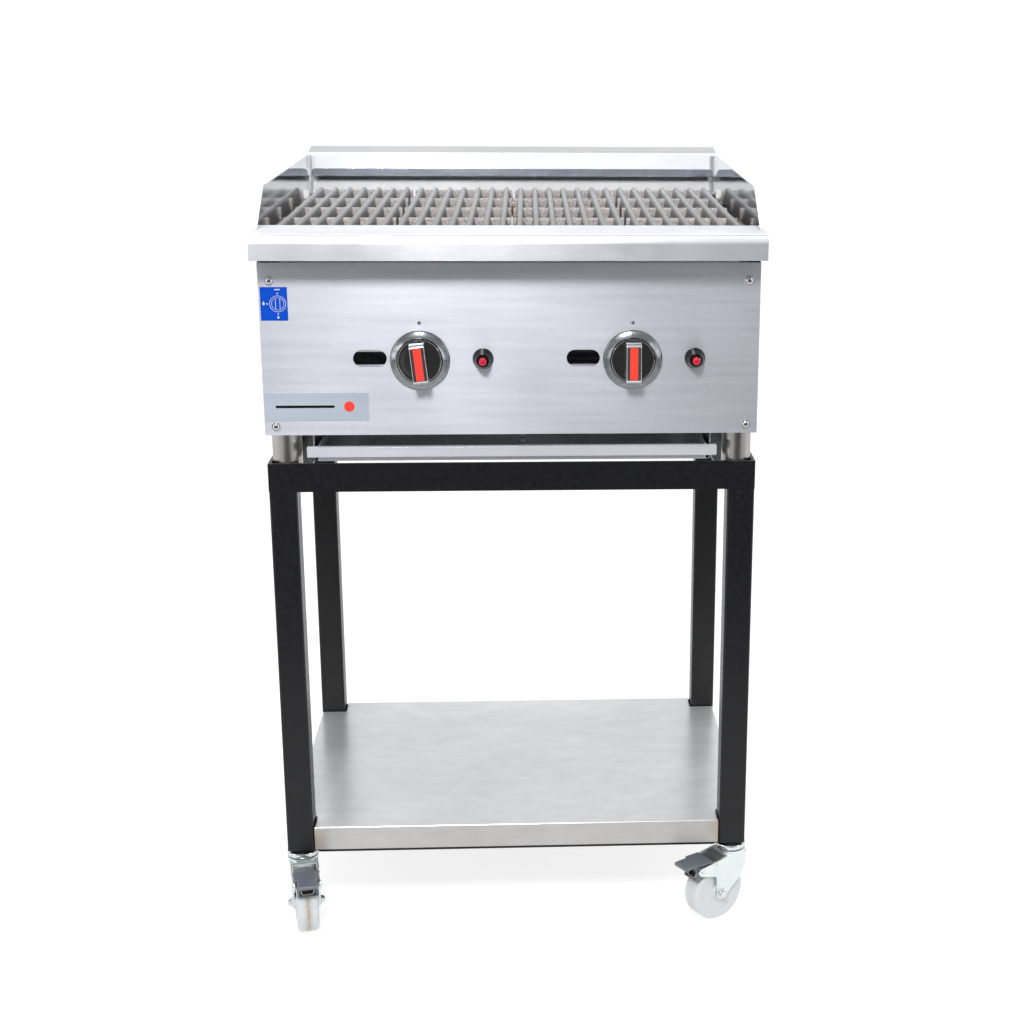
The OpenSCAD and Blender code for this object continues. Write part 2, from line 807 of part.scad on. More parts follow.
// Angle runners hung from the body on each side of the tray.
module tray_runners() {
  t = 1.5;
  x_out = tray_pan_w / 2 + 6;
  flange_top = tray_bottom - gap;
  y0 = stand_front + 8;
  y1 = stand_back - 12;
  color("silver") for (s = [-1, 1]) scale_side(s) {
    block([x_out - t, y0, flange_top - t], [x_out, y1, body_bottom]);
    block([x_out - 22, y0, flange_top - t], [x_out, y1, flange_top]);
    block([x_out - t, y0, body_bottom - t], [x_out + 10, y1, body_bottom]);
  }
}

// Adjustable feet: a plain tube, a screwed shoe and the stud that holds them to the base.
module foot(x, y) {
  bottom = frame_bottom + angle_t;
  translate([x, y, 0]) difference() {
    union() {
      translate([0, 0, bottom + 20]) cylinder(h = body_bottom - bottom - 20, r = foot_r);
      translate([0, 0, bottom + 14]) cylinder(h = 7, r = 14);
      translate([0, 0, bottom + 3]) cylinder(h = 11, r1 = 16, r2 = 14);
      translate([0, 0, bottom]) cylinder(h = 3, r = 17.5);
      translate([0, 0, body_bottom - 4]) cylinder(h = 4 + 2 * sheet + 8, r = stud_r);
      translate([0, 0, body_bottom + 2 * sheet + gap]) cylinder(h = 6, r = 8.5, $fn = 6);
    }
    for (a = [0, 90]) rotate(a) translate([0, 0, bottom + 17]) cube([40, 4, 3], center = true);
  }
}

module feet() { color("gainsboro") for (s = [-1, 1], y = foot_ys) foot(s * foot_x, y); }

// Plain blue card by the top left screw that shows the knob's positions.
module dial_label() {
  card_w = 32.6;
  card_h = 40.7;
  color("royalblue") translate([-half_w + 2.3 + card_w / 2, 0, panel_top - 29.2 - card_h / 2])
    toward_front(front_y, 0.3) square([card_w, card_h], center = true);
}

// Blank name plate at the bottom left.
module name_plate() {
  plate_w = 127;
  plate_h = 35;
  color("lightsteelblue") translate([-half_w + 1 + plate_w / 2, 0, body_bottom + 18.4 + plate_h / 2])
    toward_front(front_y, 0.6) round_rect([plate_w, plate_h], 1.5);
}

// ---- Stand ----

// Rectangular frame of steel angle: an upright web outside and a flange turned in at its bottom.
module angle_frame(x_half, y0, y1, z0, height, t, flange) {
  difference() {
    block([-x_half, y0, z0], [x_half, y1, z0 + height]);
    block([-x_half + t, y0 + t, z0 + t], [x_half - t, y1 - t, z0 + height + through]);
    block([-x_half + flange, y0 + flange, z0 - through], [x_half - flange, y1 - flange, z0 + height]);
  }
}

// Square tube leg with a bored plug plate at its foot.
module leg(x, y) {
  plate_t = 5;
  translate([x, y, caster_h]) difference() {
    linear_extrude(frame_bottom - caster_h) round_rect([leg_w, leg_w], 3);
    translate([0, 0, plate_t]) linear_extrude(frame_bottom - caster_h - plate_t)
      round_rect([leg_w - 2 * leg_wall, leg_w - 2 * leg_wall], 1.5);
    translate([0, 0, -through]) cylinder(h = plate_t + 2 * through, r = kingpin_r + 3 * gap);
  }
}

// Welded stand: top frame, four legs and the lower angles that carry the shelf.
module stand_frame() {
  low_top = shelf_top - shelf_sheet;
  low_bottom = shelf_top - shelf_skirt - lower_angle_t;
  inset = 4;
  into_leg = leg_w / 2 - 1;
  clear_head = head_r + 3;
  color([0.12, 0.12, 0.13]) {
    angle_frame(stand_w / 2, stand_front, stand_back, frame_bottom, angle_h, angle_t, 38);
    for (s = [-1, 1], y = leg_ys) leg(s * leg_x, y);
    // Webs of the lower angles, let into the legs' walls
    for (y = [stand_front + inset, stand_back - inset - lower_angle_t])
      block([-leg_x + into_leg, y, low_bottom], [leg_x - into_leg, y + lower_angle_t, low_top]);
    for (s = [-1, 1]) scale_side(s)
      block([stand_w / 2 - inset - lower_angle_t, leg_ys[0] + into_leg, low_bottom],
            [stand_w / 2 - inset, leg_ys[1] - into_leg, low_top]);
    // Their flanges show as a thin line under the shelf's edge and stop short of the casters
    for (y = [stand_front + 1, stand_back - 25])
      block([-leg_x + clear_head, y, low_bottom], [leg_x - clear_head, y + 24, low_bottom + lower_angle_t]);
    for (s = [-1, 1]) scale_side(s)
      block([stand_w / 2 - 25, leg_ys[0] + clear_head, low_bottom],
            [stand_w / 2 - 1, leg_ys[1] - clear_head, low_bottom + lower_angle_t]);
  }
}

// Plan of the undershelf, notched round the legs.
module shelf_plan() {
  notch = leg_w + 1.5;
  translate([0, (stand_front + stand_back) / 2]) {
    square([stand_w - 2 * notch, stand_d - 2], center = true);
    square([stand_w - 2, stand_d - 2 * notch], center = true);
  }
}

module undershelf() {
  bottom = shelf_top - shelf_skirt;
  color("gainsboro") difference() {
    translate([0, 0, bottom]) linear_extrude(shelf_skirt) shelf_plan();
    translate([0, (stand_front + stand_back) / 2, bottom - through])
      linear_extrude(shelf_skirt - shelf_sheet + through)
        square([stand_w - 2 - 2 * shelf_sheet, stand_d - 2 - 2 * shelf_sheet], center = true);
  }
}

// ---- Casters ----

// Puts a caster's pieces under leg number n (front left, front right, back left, back right)
// and turns them to its heading. At heading 0 the wheel trails toward the front.
module at_leg(n) {
  x = (n % 2 == 0 ? -1 : 1) * leg_x;
  y = leg_ys[floor(n / 2)];
  translate([x, y, 0]) rotate([0, 0, headings[n]]) children();
}

// Extrudes an outline of (trail, z) points across the caster.
module across(width) {
  rotate([90, 0, -90]) linear_extrude(width, center = true) children();
}

// A cylinder across the caster at a trail and height.
module pin_across(trail, z, r, width, sides = 48) {
  translate([0, -trail, z]) rotate([0, 90, 0]) cylinder(h = width, r = r, center = true, $fn = sides);
}

// Fixed upper race, the kingpin below it and the fixing bolt and nut inside the leg.
module caster_head() {
  race_bottom = fork_top + 0.4;
  rim_h = 4;
  bolt_top = caster_h + 15;
  head_h = 4;
  nut_base = caster_h + 5 + gap;
  union() {
    translate([0, 0, race_bottom + rim_h])
      cylinder(h = caster_h - race_bottom - rim_h - gap / 2, r1 = head_r, r2 = head_r - 3);
    translate([0, 0, race_bottom]) cylinder(h = rim_h, r = head_r);
    translate([0, 0, crown_z - 3]) cylinder(h = bolt_top + 3 - crown_z, r = kingpin_r);
    translate([0, 0, crown_z - 2 - head_h]) cylinder(h = head_h, r = kingpin_r + 2.5);
    translate([0, 0, nut_base]) cylinder(h = 8, r = 10, $fn = 6);
  }
}

module caster_heads() {
  color("silver") for (n = [0 : 3]) at_leg(n) caster_head();
}

// Side plate of the fork; the braked one has an arm that carries the pedal.
module fork_side(braked) {
  polygon([
    [-14, crown_z + 2],
    [18, crown_z + 2],
    [braked ? 40 : 22, braked ? 88.5 : 78],
    [braked ? pedal_trail : 24, braked ? pedal_z + pedal_boss_r : 76],
    [braked ? pedal_trail : 26, braked ? pedal_z - pedal_boss_r : 70],
    [braked ? 38 : 28, 67],
    [caster_trail + axle_boss_r, braked ? 61 : 60],
    [caster_trail + axle_boss_r, wheel_r],
    [caster_trail - 7, wheel_r - 4.8],
    [-4, 56],
    [-12, 76],
  ]);
  translate([caster_trail, wheel_r]) circle(axle_boss_r);
  if (braked) translate([pedal_trail, pedal_z]) circle(pedal_boss_r);
}

// Swivelling fork: two plates joined by a crown under the fixed race.
module fork(braked) {
  color("silver") difference() {
    union() {
      across(fork_out) fork_side(braked);
      translate([0, 0, crown_z]) cylinder(h = fork_top - crown_z, r = head_r);
    }
    across(fork_in) polygon([
      [-30, 0],
      [90, 0],
      [90, crown_z + 10],
      [head_r - 2, crown_z + 10],
      [head_r - 2, crown_z - 0.5],
      [-30, crown_z - 0.5],
    ]);
    translate([0, 0, crown_z - 20]) cylinder(h = 40, r = kingpin_r + gap);
    pin_across(caster_trail, wheel_r, axle_r + gap, fork_out + 2);
    if (braked) pin_across(pedal_trail, pedal_z, pedal_pin_r + gap, fork_out + 2);
    if (braked) pin_across(rivet[0], rivet[1], rivet_r, fork_out + 2);
  }
}

module front_left_fork() { at_leg(0) fork(true); }

module front_right_fork() { at_leg(1) fork(true); }

module back_left_fork() { at_leg(2) fork(false); }

module back_right_fork() { at_leg(3) fork(false); }

// Axle bolt with its head and nut outside the fork and a sleeve inside the wheel.
module axle() {
  half = fork_out / 2 + gap;
  head_h = 6;
  color("silver") {
    pin_across(caster_trail, wheel_r, axle_r, 2 * (half + head_h) - 2);
    pin_across(caster_trail, wheel_r, sleeve_r, fork_in - 2 * gap);
    for (s = [-1, 1])
      translate([s * (half + head_h / 2), 0, 0]) pin_across(caster_trail, wheel_r, s > 0 ? 7 : 6.5, head_h, 6);
  }
}

module front_left_axle() { at_leg(0) axle(); }

module front_right_axle() { at_leg(1) axle(); }

module back_left_axle() { at_leg(2) axle(); }

module back_right_axle() { at_leg(3) axle(); }

// Solid wheel: rounded tread, dished sides and a hub that reaches the fork.
module wheel() {
  half = wheel_w / 2;
  shoulder = 5;
  hub = fork_in / 2 - 0.2;
  hub_r = 11;
  dish = 0.8;
  dish_rim = wheel_r - 11;
  color("whitesmoke") translate([0, -caster_trail, wheel_r]) rotate([0, 90, 0])
    rotate_extrude($fn = 96) {
      polygon([
        [sleeve_r + gap, -hub],
        [hub_r, -hub],
        [hub_r + 2, -half + dish],
        [dish_rim, -half + dish],
        [dish_rim + 3, -half],
        [wheel_r - shoulder, -half],
        [wheel_r, -half + shoulder],
        [wheel_r, half - shoulder],
        [wheel_r - shoulder, half],
        [dish_rim + 3, half],
        [dish_rim, half - dish],
        [hub_r + 2, half - dish],
        [hub_r, hub],
        [sleeve_r + gap, hub],
      ]);
      for (s = [-1, 1]) translate([wheel_r - shoulder, s * (half - shoulder)]) circle(shoulder);
    }
}

module front_left_wheel() { at_leg(0) wheel(); }

module front_right_wheel() { at_leg(1) wheel(); }

module back_left_wheel() { at_leg(2) wheel(); }

module back_right_wheel() { at_leg(3) wheel(); }

// Brake pedal: a foot plate with wings over the fork's arms, a shoe before the tread and its pivot pin.
module brake_pedal() {
  wing_low = 89.2;
  plate_top = 91;
  color("slategray") {
    across(pedal_wing_w) polygon([[43.5, wing_low], [43.5, plate_top], [65, plate_top], [65.5, wing_low]]);
    across(pedal_body_w) polygon([
      [50, wing_low],
      [52, 84],
      [54, 76.5],
      [58.8, 69.6],
      [59.5, 68],
      [64.8, 64.6],
      [68, 65.8],
      [68.5, 81],
      [71, 86.5],
      [84.5, 85.5],
      [86, 87.5],
      [85.5, 90],
      [64, plate_top - 0.1],
    ]);
    across(fork_in - 1) translate([pedal_trail, pedal_z]) circle(5);
    pin_across(pedal_trail, pedal_z, pedal_pin_r, fork_out + 2);
  }
}

module left_brake_pedal() { at_leg(0) brake_pedal(); }

module right_brake_pedal() { at_leg(1) brake_pedal(); }

left_side_panel();
right_side_panel();
rear_panel();
base_pan();
firebox();
front_panel();
panel_screws();
front_ledge();
left_splash_guard();
right_splash_guard();
rear_splash_guard();
flue_deflector();
grate_1();
grate_2();
grate_3();
grate_4();
left_radiant();
right_radiant();
left_burner();
right_burner();
pilot_burners();
pilot_electrodes();
gas_manifold();
gas_valves();
left_valve_plunger();
right_valve_plunger();
left_valve_spindle();
right_valve_spindle();
left_knob();
right_knob();
left_knob_insert();
right_knob_insert();
knob_bezels();
igniter_bodies();
left_igniter_button();
right_igniter_button();
gas_injectors();
drip_tray();
tray_runners();
feet();
dial_label();
name_plate();
stand_frame();
undershelf();
caster_heads();
front_left_fork();
front_right_fork();
back_left_fork();
back_right_fork();
front_left_axle();
front_right_axle();
back_left_axle();
back_right_axle();
front_left_wheel();
front_right_wheel();
back_left_wheel();
back_right_wheel();
left_brake_pedal();
right_brake_pedal();
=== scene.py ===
"""Looks for a two-burner gas charbroiler on a wheeled stand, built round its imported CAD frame."""

import json
import math

import bmesh
import bpy
from mathutils import Matrix, Vector, noise


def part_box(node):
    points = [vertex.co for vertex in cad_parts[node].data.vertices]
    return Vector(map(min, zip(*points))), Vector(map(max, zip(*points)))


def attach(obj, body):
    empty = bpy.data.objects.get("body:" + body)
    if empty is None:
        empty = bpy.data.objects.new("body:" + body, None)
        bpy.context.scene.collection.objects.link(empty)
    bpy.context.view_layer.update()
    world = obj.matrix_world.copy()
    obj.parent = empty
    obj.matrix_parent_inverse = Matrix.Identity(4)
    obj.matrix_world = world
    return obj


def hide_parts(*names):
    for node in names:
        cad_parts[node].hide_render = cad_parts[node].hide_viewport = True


MM = 0.001
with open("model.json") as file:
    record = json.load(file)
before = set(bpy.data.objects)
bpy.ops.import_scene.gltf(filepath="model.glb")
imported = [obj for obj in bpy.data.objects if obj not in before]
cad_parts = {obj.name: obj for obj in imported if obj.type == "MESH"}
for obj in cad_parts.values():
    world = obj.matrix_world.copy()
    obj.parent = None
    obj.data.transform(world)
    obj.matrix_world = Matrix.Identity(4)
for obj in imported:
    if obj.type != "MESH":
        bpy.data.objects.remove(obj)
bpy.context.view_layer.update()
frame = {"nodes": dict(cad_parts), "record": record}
nodes = frame["nodes"]


# ---- Materials ----


class Finish:
    """A procedural material: one Principled shader fed by textures in the piece's own coordinates."""

    def __init__(self, name, **values):
        self.material = bpy.data.materials.new(name)
        self.material.use_nodes = True
        self.tree = self.material.node_tree
        self.shader = self.tree.nodes["Principled BSDF"]
        for key, value in values.items():
            self.shader.inputs[key.replace("_", " ")].default_value = value

    def add(self, kind, inputs=None, **props):
        """A node of that kind; an input may be a value or another node's output."""
        node = self.tree.nodes.new("ShaderNode" + kind)
        for key, value in props.items():
            setattr(node, key, value)
        for key, value in (inputs or {}).items():
            if isinstance(value, bpy.types.NodeSocket):
                self.tree.links.new(value, node.inputs[key])
            else:
                node.inputs[key].default_value = value
        return node

    def noise(self, scale, detail=2, roughness=0.5):
        """Noise between 0 and 1; scale is one number or cycles per metre along each axis."""
        place = self.add("TexCoord").outputs["Object"]
        if not isinstance(scale, (int, float)):
            place = self.add("Mapping", {"Vector": place, "Scale": scale}).outputs[0]
            scale = 1
        return self.add("TexNoise", {"Vector": place, "Scale": scale, "Detail": detail,
                                     "Roughness": roughness}).outputs[0]

    def axis(self, letter, low, high):
        """0 to 1 along one axis, between two places in metres."""
        place = self.add("SeparateXYZ", {0: self.add("TexCoord").outputs["Object"]})
        return self.between(place.outputs[letter], low, high)

    def between(self, value, low, high):
        """0 to 1 as a value goes from low to high."""
        return self.add("MapRange", {"Value": value, "From Min": low, "From Max": high}).outputs[0]

    def calc(self, operation, *values):
        """A sum, product or other operation on one or two values."""
        return self.add("Math", dict(enumerate(values)), operation=operation).outputs[0]

    def ramp(self, factor, *stops):
        """Colour at each (place, colour) stop along the factor."""
        made = self.add("ValToRGB", {"Fac": factor})
        elements = made.color_ramp.elements
        while len(elements) < len(stops):
            elements.new(0.5)
        for element, (place, colour) in zip(elements, stops):
            element.position = place
            element.color = grey(colour)
        return made.outputs[0]

    def span(self, factor, low, high):
        """The factor's middle range spread between two values."""
        return self.add("MapRange", {"Value": factor, "From Min": 0.3, "From Max": 0.7,
                                     "To Min": low, "To Max": high}).outputs[0]

    def blend(self, factor, a, b, mode="MIX"):
        """Two colours mixed by the factor."""
        made = self.add("Mix", data_type="RGBA", blend_type=mode)
        for socket, value in ((0, factor), (6, a), (7, b)):
            if isinstance(value, bpy.types.NodeSocket):
                self.tree.links.new(value, made.inputs[socket])
            elif socket == 0:
                made.inputs[socket].default_value = value
            else:
                made.inputs[socket].default_value = grey(value)
        return made.outputs[2]

    def colour(self):
        """The output that makes the base colour so far."""
        return self.shader.inputs["Base Color"].links[0].from_socket

    def set(self, **sockets):
        """Feeds the shader's inputs from those outputs."""
        for key, socket in sockets.items():
            self.tree.links.new(socket, self.shader.inputs[key.replace("_", " ")])
        return self

    def bump(self, height, depth):
        """Relief of that depth in metres."""
        relief = self.add("Bump", {"Height": height, "Distance": depth, "Strength": 1.0})
        return self.set(Normal=relief.outputs[0])


def grey(colour):
    """An RGBA colour from one number, three or four."""
    if isinstance(colour, (int, float)):
        return (colour, colour, colour, 1)
    return tuple(colour) + (1,) * (4 - len(colour))


def brushed(name, dark, light, rough=(0.25, 0.38), along=(3, 500, 500), across=(0, 1, 1), streak=0.8,
            depth=0.02 * MM, metal=1.0):
    """Stainless sheet brushed along one direction; highlights stretch across the brushing."""
    made = Finish(name, Metallic=metal, Anisotropic=streak)
    fine = made.noise(along, detail=3, roughness=0.7)
    wide = made.noise(tuple(a / 12 if a > 50 else a for a in along), detail=2)
    cloud = made.noise(4, detail=3)
    grain = made.calc("MULTIPLY", made.calc("ADD", fine, wide), 0.5)
    tone = made.ramp(grain, (0.38, dark), (0.62, light))
    made.set(Base_Color=made.blend(0.16, tone, made.ramp(cloud, (0.3, 0.35), (0.7, 1)), "MULTIPLY"))
    made.set(Roughness=made.span(cloud, *rough))
    made.set(Tangent=made.add("CombineXYZ", dict(enumerate(across))).outputs[0])
    return made.bump(grain, depth)


def plastic(name, colour, rough=0.35, mottle=0.85, grain=900, depth=0.02 * MM, **values):
    """Moulded plastic with a fine grain and a little variation in tone."""
    made = Finish(name, **values)
    cloud = made.noise(60, detail=3)
    fine = made.noise(grain, detail=2)
    low = tuple(c * mottle for c in colour)
    made.set(Base_Color=made.ramp(cloud, (0.3, low), (0.7, colour)))
    made.set(Roughness=made.span(fine, rough * 0.8, rough * 1.2))
    return made.bump(fine, depth)


def zinc_plate(name):
    """Bright zinc plating: faint blue-green and yellow passivation tints and small stains."""
    made = Finish(name, Metallic=0.8)
    cloud = made.noise(40, detail=3)
    fine = made.noise(130, detail=2)
    blue_green, pale, yellow = (0.60, 0.67, 0.68), (0.65, 0.70, 0.70), (0.70, 0.71, 0.69)
    made.set(Base_Color=made.ramp(cloud, (0.3, blue_green), (0.5, pale), (0.7, yellow)))
    made.set(Roughness=made.span(fine, 0.27, 0.33))
    return made.bump(fine, 0.004 * MM)


# Heights between which the grates' iron goes from painted shade at the feet to a painted highlight on the ridges
GRATE_SHADE_HEIGHTS = (0.908, 0.936)


def cast_iron(name):
    """Grey bare casting with a rough skin, with painted shade below the grates' ridges and a painted highlight on
    the ridges.
    """
    made = Finish(name, Metallic=0.55)
    coarse = made.noise(260, detail=5, roughness=0.65)
    cloud = made.noise(18, detail=3)
    # Painted shade darkens the iron towards the bars' feet, and a painted highlight lightens the ridges
    height = made.axis("Z", *GRATE_SHADE_HEIGHTS)
    tone = made.ramp(height, (0.0, (0.10, 0.085, 0.08)), (0.7, (0.26, 0.25, 0.25)), (1.0, (0.44, 0.45, 0.46)))
    made.set(Base_Color=made.blend(0.5, tone, made.ramp(coarse, (0.3, 0.55), (0.7, 1.0)), "MULTIPLY"))
    made.set(Roughness=made.span(cloud, 0.42, 0.62))
    return made.bump(coarse, 0.35 * MM)


def shade_by_facing(made, side_shade, top_shade=1):
    """Painted shade: multiplies a finish's colour by one tint where it faces up and another where it faces sideways,
    darkening the faces that get less light.
    """
    facing = made.add("SeparateXYZ", {0: made.add("NewGeometry").outputs["True Normal"]}).outputs["Z"]
    # Painted shade by which way a face points
    facing_shade = made.ramp(facing, (0.3, side_shade), (0.7, top_shade))
    made.set(Base_Color=made.blend(1.0, made.colour(), facing_shade, "MULTIPLY"))
    return made


FINISHES = {
    "brushed_steel": lambda n: brushed(n, (0.56, 0.58, 0.60), (0.70, 0.72, 0.74), along=(400, 3, 400),
                                       across=(1, 0, 1)),
    "firebox_steel": lambda n: brushed(n, (0.50, 0.47, 0.46), (0.72, 0.70, 0.70), rough=(0.35, 0.5)),
    "panel_steel": lambda n: brushed(n, (0.57, 0.58, 0.64), (0.66, 0.67, 0.73), rough=(0.34, 0.38),
                                     along=(90, 1400, 1400), depth=0.01 * MM, metal=0.75),
    "screw_steel": lambda n: brushed(n, (0.6, 0.6, 0.6), (0.8, 0.8, 0.8), rough=(0.12, 0.2), streak=0),
    "ledge_steel": lambda n: brushed(n, (0.72, 0.73, 0.77), (0.80, 0.81, 0.85), rough=(0.26, 0.34),
                                     along=(30, 900, 900), depth=0.008 * MM, metal=0.8),
    "mirror_steel": lambda n: brushed(n, (0.66, 0.67, 0.68), (0.74, 0.75, 0.76), rough=(0.06, 0.1),
                                      along=(200, 200, 4), across=(1, 1, 0), streak=0.4, depth=0.004 * MM),
    "cast_iron": cast_iron,
    "radiant_steel": lambda n: brushed(n, (0.2, 0.18, 0.17), (0.36, 0.33, 0.31), rough=(0.5, 0.65), streak=0),
    "burner_iron": cast_iron,
    "copper": lambda n: brushed(n, (0.72, 0.32, 0.16), (0.90, 0.48, 0.28), rough=(0.25, 0.4), streak=0),
    "ceramic": lambda n: plastic(n, (0.88, 0.87, 0.84), rough=0.2),
    "pipe_steel": lambda n: brushed(n, (0.4, 0.4, 0.4), (0.55, 0.55, 0.55), rough=(0.4, 0.5), streak=0),
    "brass": lambda n: brushed(n, (0.72, 0.52, 0.2), (0.85, 0.66, 0.32), rough=(0.25, 0.35), streak=0),
    "zinc": zinc_plate,
    "chrome": lambda n: brushed(n, (0.80, 0.81, 0.82), (0.88, 0.89, 0.9), rough=(0.04, 0.09), streak=0,
                                depth=0.002 * MM),
    "red_plastic": lambda n: plastic(n, (0.80, 0.05, 0.035), rough=0.3, mottle=0.93, Specular_IOR_Level=0.3),
    "black_plastic": lambda n: plastic(n, (0.006, 0.006, 0.007), rough=0.16, Specular_IOR_Level=0.35),
    "crimson_plastic": lambda n: plastic(n, (0.46, 0.01, 0.025), rough=0.25, mottle=0.9),
    # Painted shade on the tray's sideways faces
    "tray_steel": lambda n: shade_by_facing(brushed(n, (0.80, 0.82, 0.87), (0.90, 0.92, 0.97), rough=(0.25, 0.35),
                                              metal=0.4), (0.66, 0.66, 0.67)),
    "foot_steel": lambda n: brushed(n, (0.34, 0.33, 0.31), (0.50, 0.48, 0.45), rough=(0.2, 0.3),
                                    along=(300, 300, 8), across=(1, 1, 0)),
    "blue_card": lambda n: plastic(n, (0.0, 0.055, 0.42), rough=0.5, mottle=0.96, Specular_IOR_Level=0.12),
    "plate_steel": lambda n: brushed(n, (0.50, 0.56, 0.635), (0.56, 0.62, 0.70), rough=(0.34, 0.4), streak=0.3,
                                     metal=0.5),
    "black_paint": lambda n: plastic(n, (0.005, 0.005, 0.006), rough=0.36, grain=250, Specular_IOR_Level=0.3),
    # Painted shade on the shelf's front and other sideways faces
    "shelf_steel": lambda n: shade_by_facing(brushed(n, (0.78, 0.78, 0.775), (0.86, 0.86, 0.855), rough=(0.3, 0.38),
                                               along=(30, 700, 700), depth=0.008 * MM, metal=0.8),
                                       (0.56, 0.55, 0.54)),
    "nylon": lambda n: plastic(n, (0.52, 0.54, 0.55), rough=0.4, mottle=0.93),
    "grey_plastic": lambda n: plastic(n, (0.115, 0.13, 0.155), rough=0.35, mottle=0.85),
}
finishes = {slot: make(slot).material for slot, make in FINISHES.items()}


def tinted_chrome(name, dark, light, rough):
    """Chrome or bright zinc with a tint of its own; the darkest copies are painted reflection."""
    return brushed(name, dark, light, rough=rough, streak=0, depth=0.001 * MM).material


# Finishes of single pieces
# Painted reflection: the knob discs' and bezels' chrome are darkened copies for the dark surroundings they mirror
chrome_painted_dark = tinted_chrome("chrome_painted_dark", (0.24, 0.24, 0.23), (0.34, 0.34, 0.32), (0.05, 0.1))
bright_chrome = tinted_chrome("bright_chrome", (0.62, 0.61, 0.60), (0.74, 0.73, 0.72), (0.06, 0.12))
ring_chrome_painted_dark = tinted_chrome("ring_chrome_painted_dark", (0.13, 0.14, 0.15), (0.24, 0.25, 0.26), (0.18, 0.24))
race_chrome = tinted_chrome("race_chrome", (0.58, 0.62, 0.61), (0.68, 0.70, 0.68), (0.1, 0.16))
glossy_black = plastic("glossy_black", (0.006, 0.006, 0.007), rough=0.07, depth=0.001 * MM,
                       Specular_IOR_Level=0.1).material
# Painted light: a brighter copy of the stainless for the rear splash, with painted shade on its upward faces
splash_painted_bright = shade_by_facing(brushed("splash_painted_bright", (0.86, 0.865, 0.88), (0.92, 0.925, 0.94), rough=(0.5, 0.56),
                                 streak=0, along=(30, 900, 900), depth=0.005 * MM, metal=0.45), 1, 0.56).material
# Painted reflection: the deflector's stainless is tinted blue-grey for what its face reflects
deflector_reflection_blue = brushed("deflector_reflection_blue", (0.68, 0.74, 0.84), (0.80, 0.85, 0.95), rough=(0.12, 0.16), streak=0.3,
                         along=(20, 400, 400), depth=0.003 * MM).material
rear_steel = brushed("rear_steel", (0.56, 0.58, 0.60), (0.70, 0.72, 0.74), along=(3, 500, 500)).material
# Painted shade: a darker copy of the panel steel for the strip inside the lighting slots
shaded_strip_steel = brushed("shaded_strip_steel", (0.40, 0.40, 0.45), (0.46, 0.46, 0.51), rough=(0.34, 0.38),
                      metal=0.75).material
# Painted shade for the dark line along the ledge's bend
crease_shade = brushed("crease_shade", (0.22, 0.22, 0.23), (0.28, 0.28, 0.29), rough=(0.4, 0.5), streak=0,
                       metal=0.5).material
wire_beige = brushed("wire_beige", (0.46, 0.42, 0.33), (0.60, 0.55, 0.44), rough=(0.3, 0.4), streak=0).material
dark_leaf = brushed("dark_leaf", (0.24, 0.25, 0.25), (0.34, 0.35, 0.35), rough=(0.3, 0.4), streak=0).material


def paint(piece, slot):
    """Gives a piece the finish of that slot."""
    piece.data.materials.clear()
    piece.data.materials.append(finishes[slot])
    return piece


# ---- Edges of the CAD's own pieces ----


# Edges that turn by less than this are shaded smooth; sharper ones are rounded
SHARP_ANGLE = math.radians(32)


def geometry_group(name):
    """A group of geometry nodes with its input and output, and what makes and links its nodes."""
    group = bpy.data.node_groups.new(name, "GeometryNodeTree")
    group.interface.new_socket("Geometry", in_out="INPUT", socket_type="NodeSocketGeometry")
    group.interface.new_socket("Geometry", in_out="OUTPUT", socket_type="NodeSocketGeometry")
    make = group.nodes.new
    return group, make("NodeGroupInput"), make("NodeGroupOutput"), make, group.links.new


def smooth_by_angle():
    """Geometry nodes that shade smooth below the sharp angle."""
    group, start, end, make, link = geometry_group("smooth_by_angle")
    angle, test = make("GeometryNodeInputMeshEdgeAngle"), make("FunctionNodeCompare")
    test.operation = "LESS_THAN"
    test.inputs["B"].default_value = SHARP_ANGLE
    faces, edges = make("GeometryNodeSetShadeSmooth"), make("GeometryNodeSetShadeSmooth")
    edges.domain = "EDGE"
    link(angle.outputs[0], test.inputs["A"])
    link(start.outputs[0], faces.inputs["Geometry"])
    link(faces.outputs[0], edges.inputs["Geometry"])
    link(test.outputs[0], edges.inputs["Shade Smooth"])
    link(edges.outputs[0], end.inputs[0])
    return group


def without_normals():
    """Geometry nodes that join split corners and drop the stored normals."""
    group, start, end, make, link = geometry_group("without_normals")
    drop, merge = make("GeometryNodeRemoveAttribute"), make("GeometryNodeMergeByDistance")
    drop.inputs["Name"].default_value = "custom_normal"
    merge.inputs["Distance"].default_value = 0.003 * MM
    link(start.outputs[0], drop.inputs["Geometry"])
    link(drop.outputs[0], merge.inputs["Geometry"])
    link(merge.outputs[0], end.inputs[0])
    return group


JOIN, SMOOTH = without_normals(), smooth_by_angle()


def soften(piece, width, join=True):
    """Rounds a piece's edges and shades it smooth where it curves."""
    if join:
        piece.modifiers.new("join", "NODES").node_group = JOIN
    if width:
        bevel = piece.modifiers.new("edges", "BEVEL")
        bevel.width = width
        bevel.segments = 2
        bevel.limit_method = "ANGLE"
        bevel.angle_limit = SHARP_ANGLE
        bevel.use_clamp_overlap = True
    piece.modifiers.new("shade", "NODES").node_group = SMOOTH
    even = piece.modifiers.new("flats", "WEIGHTED_NORMAL")
    even.keep_sharp = True
    return piece


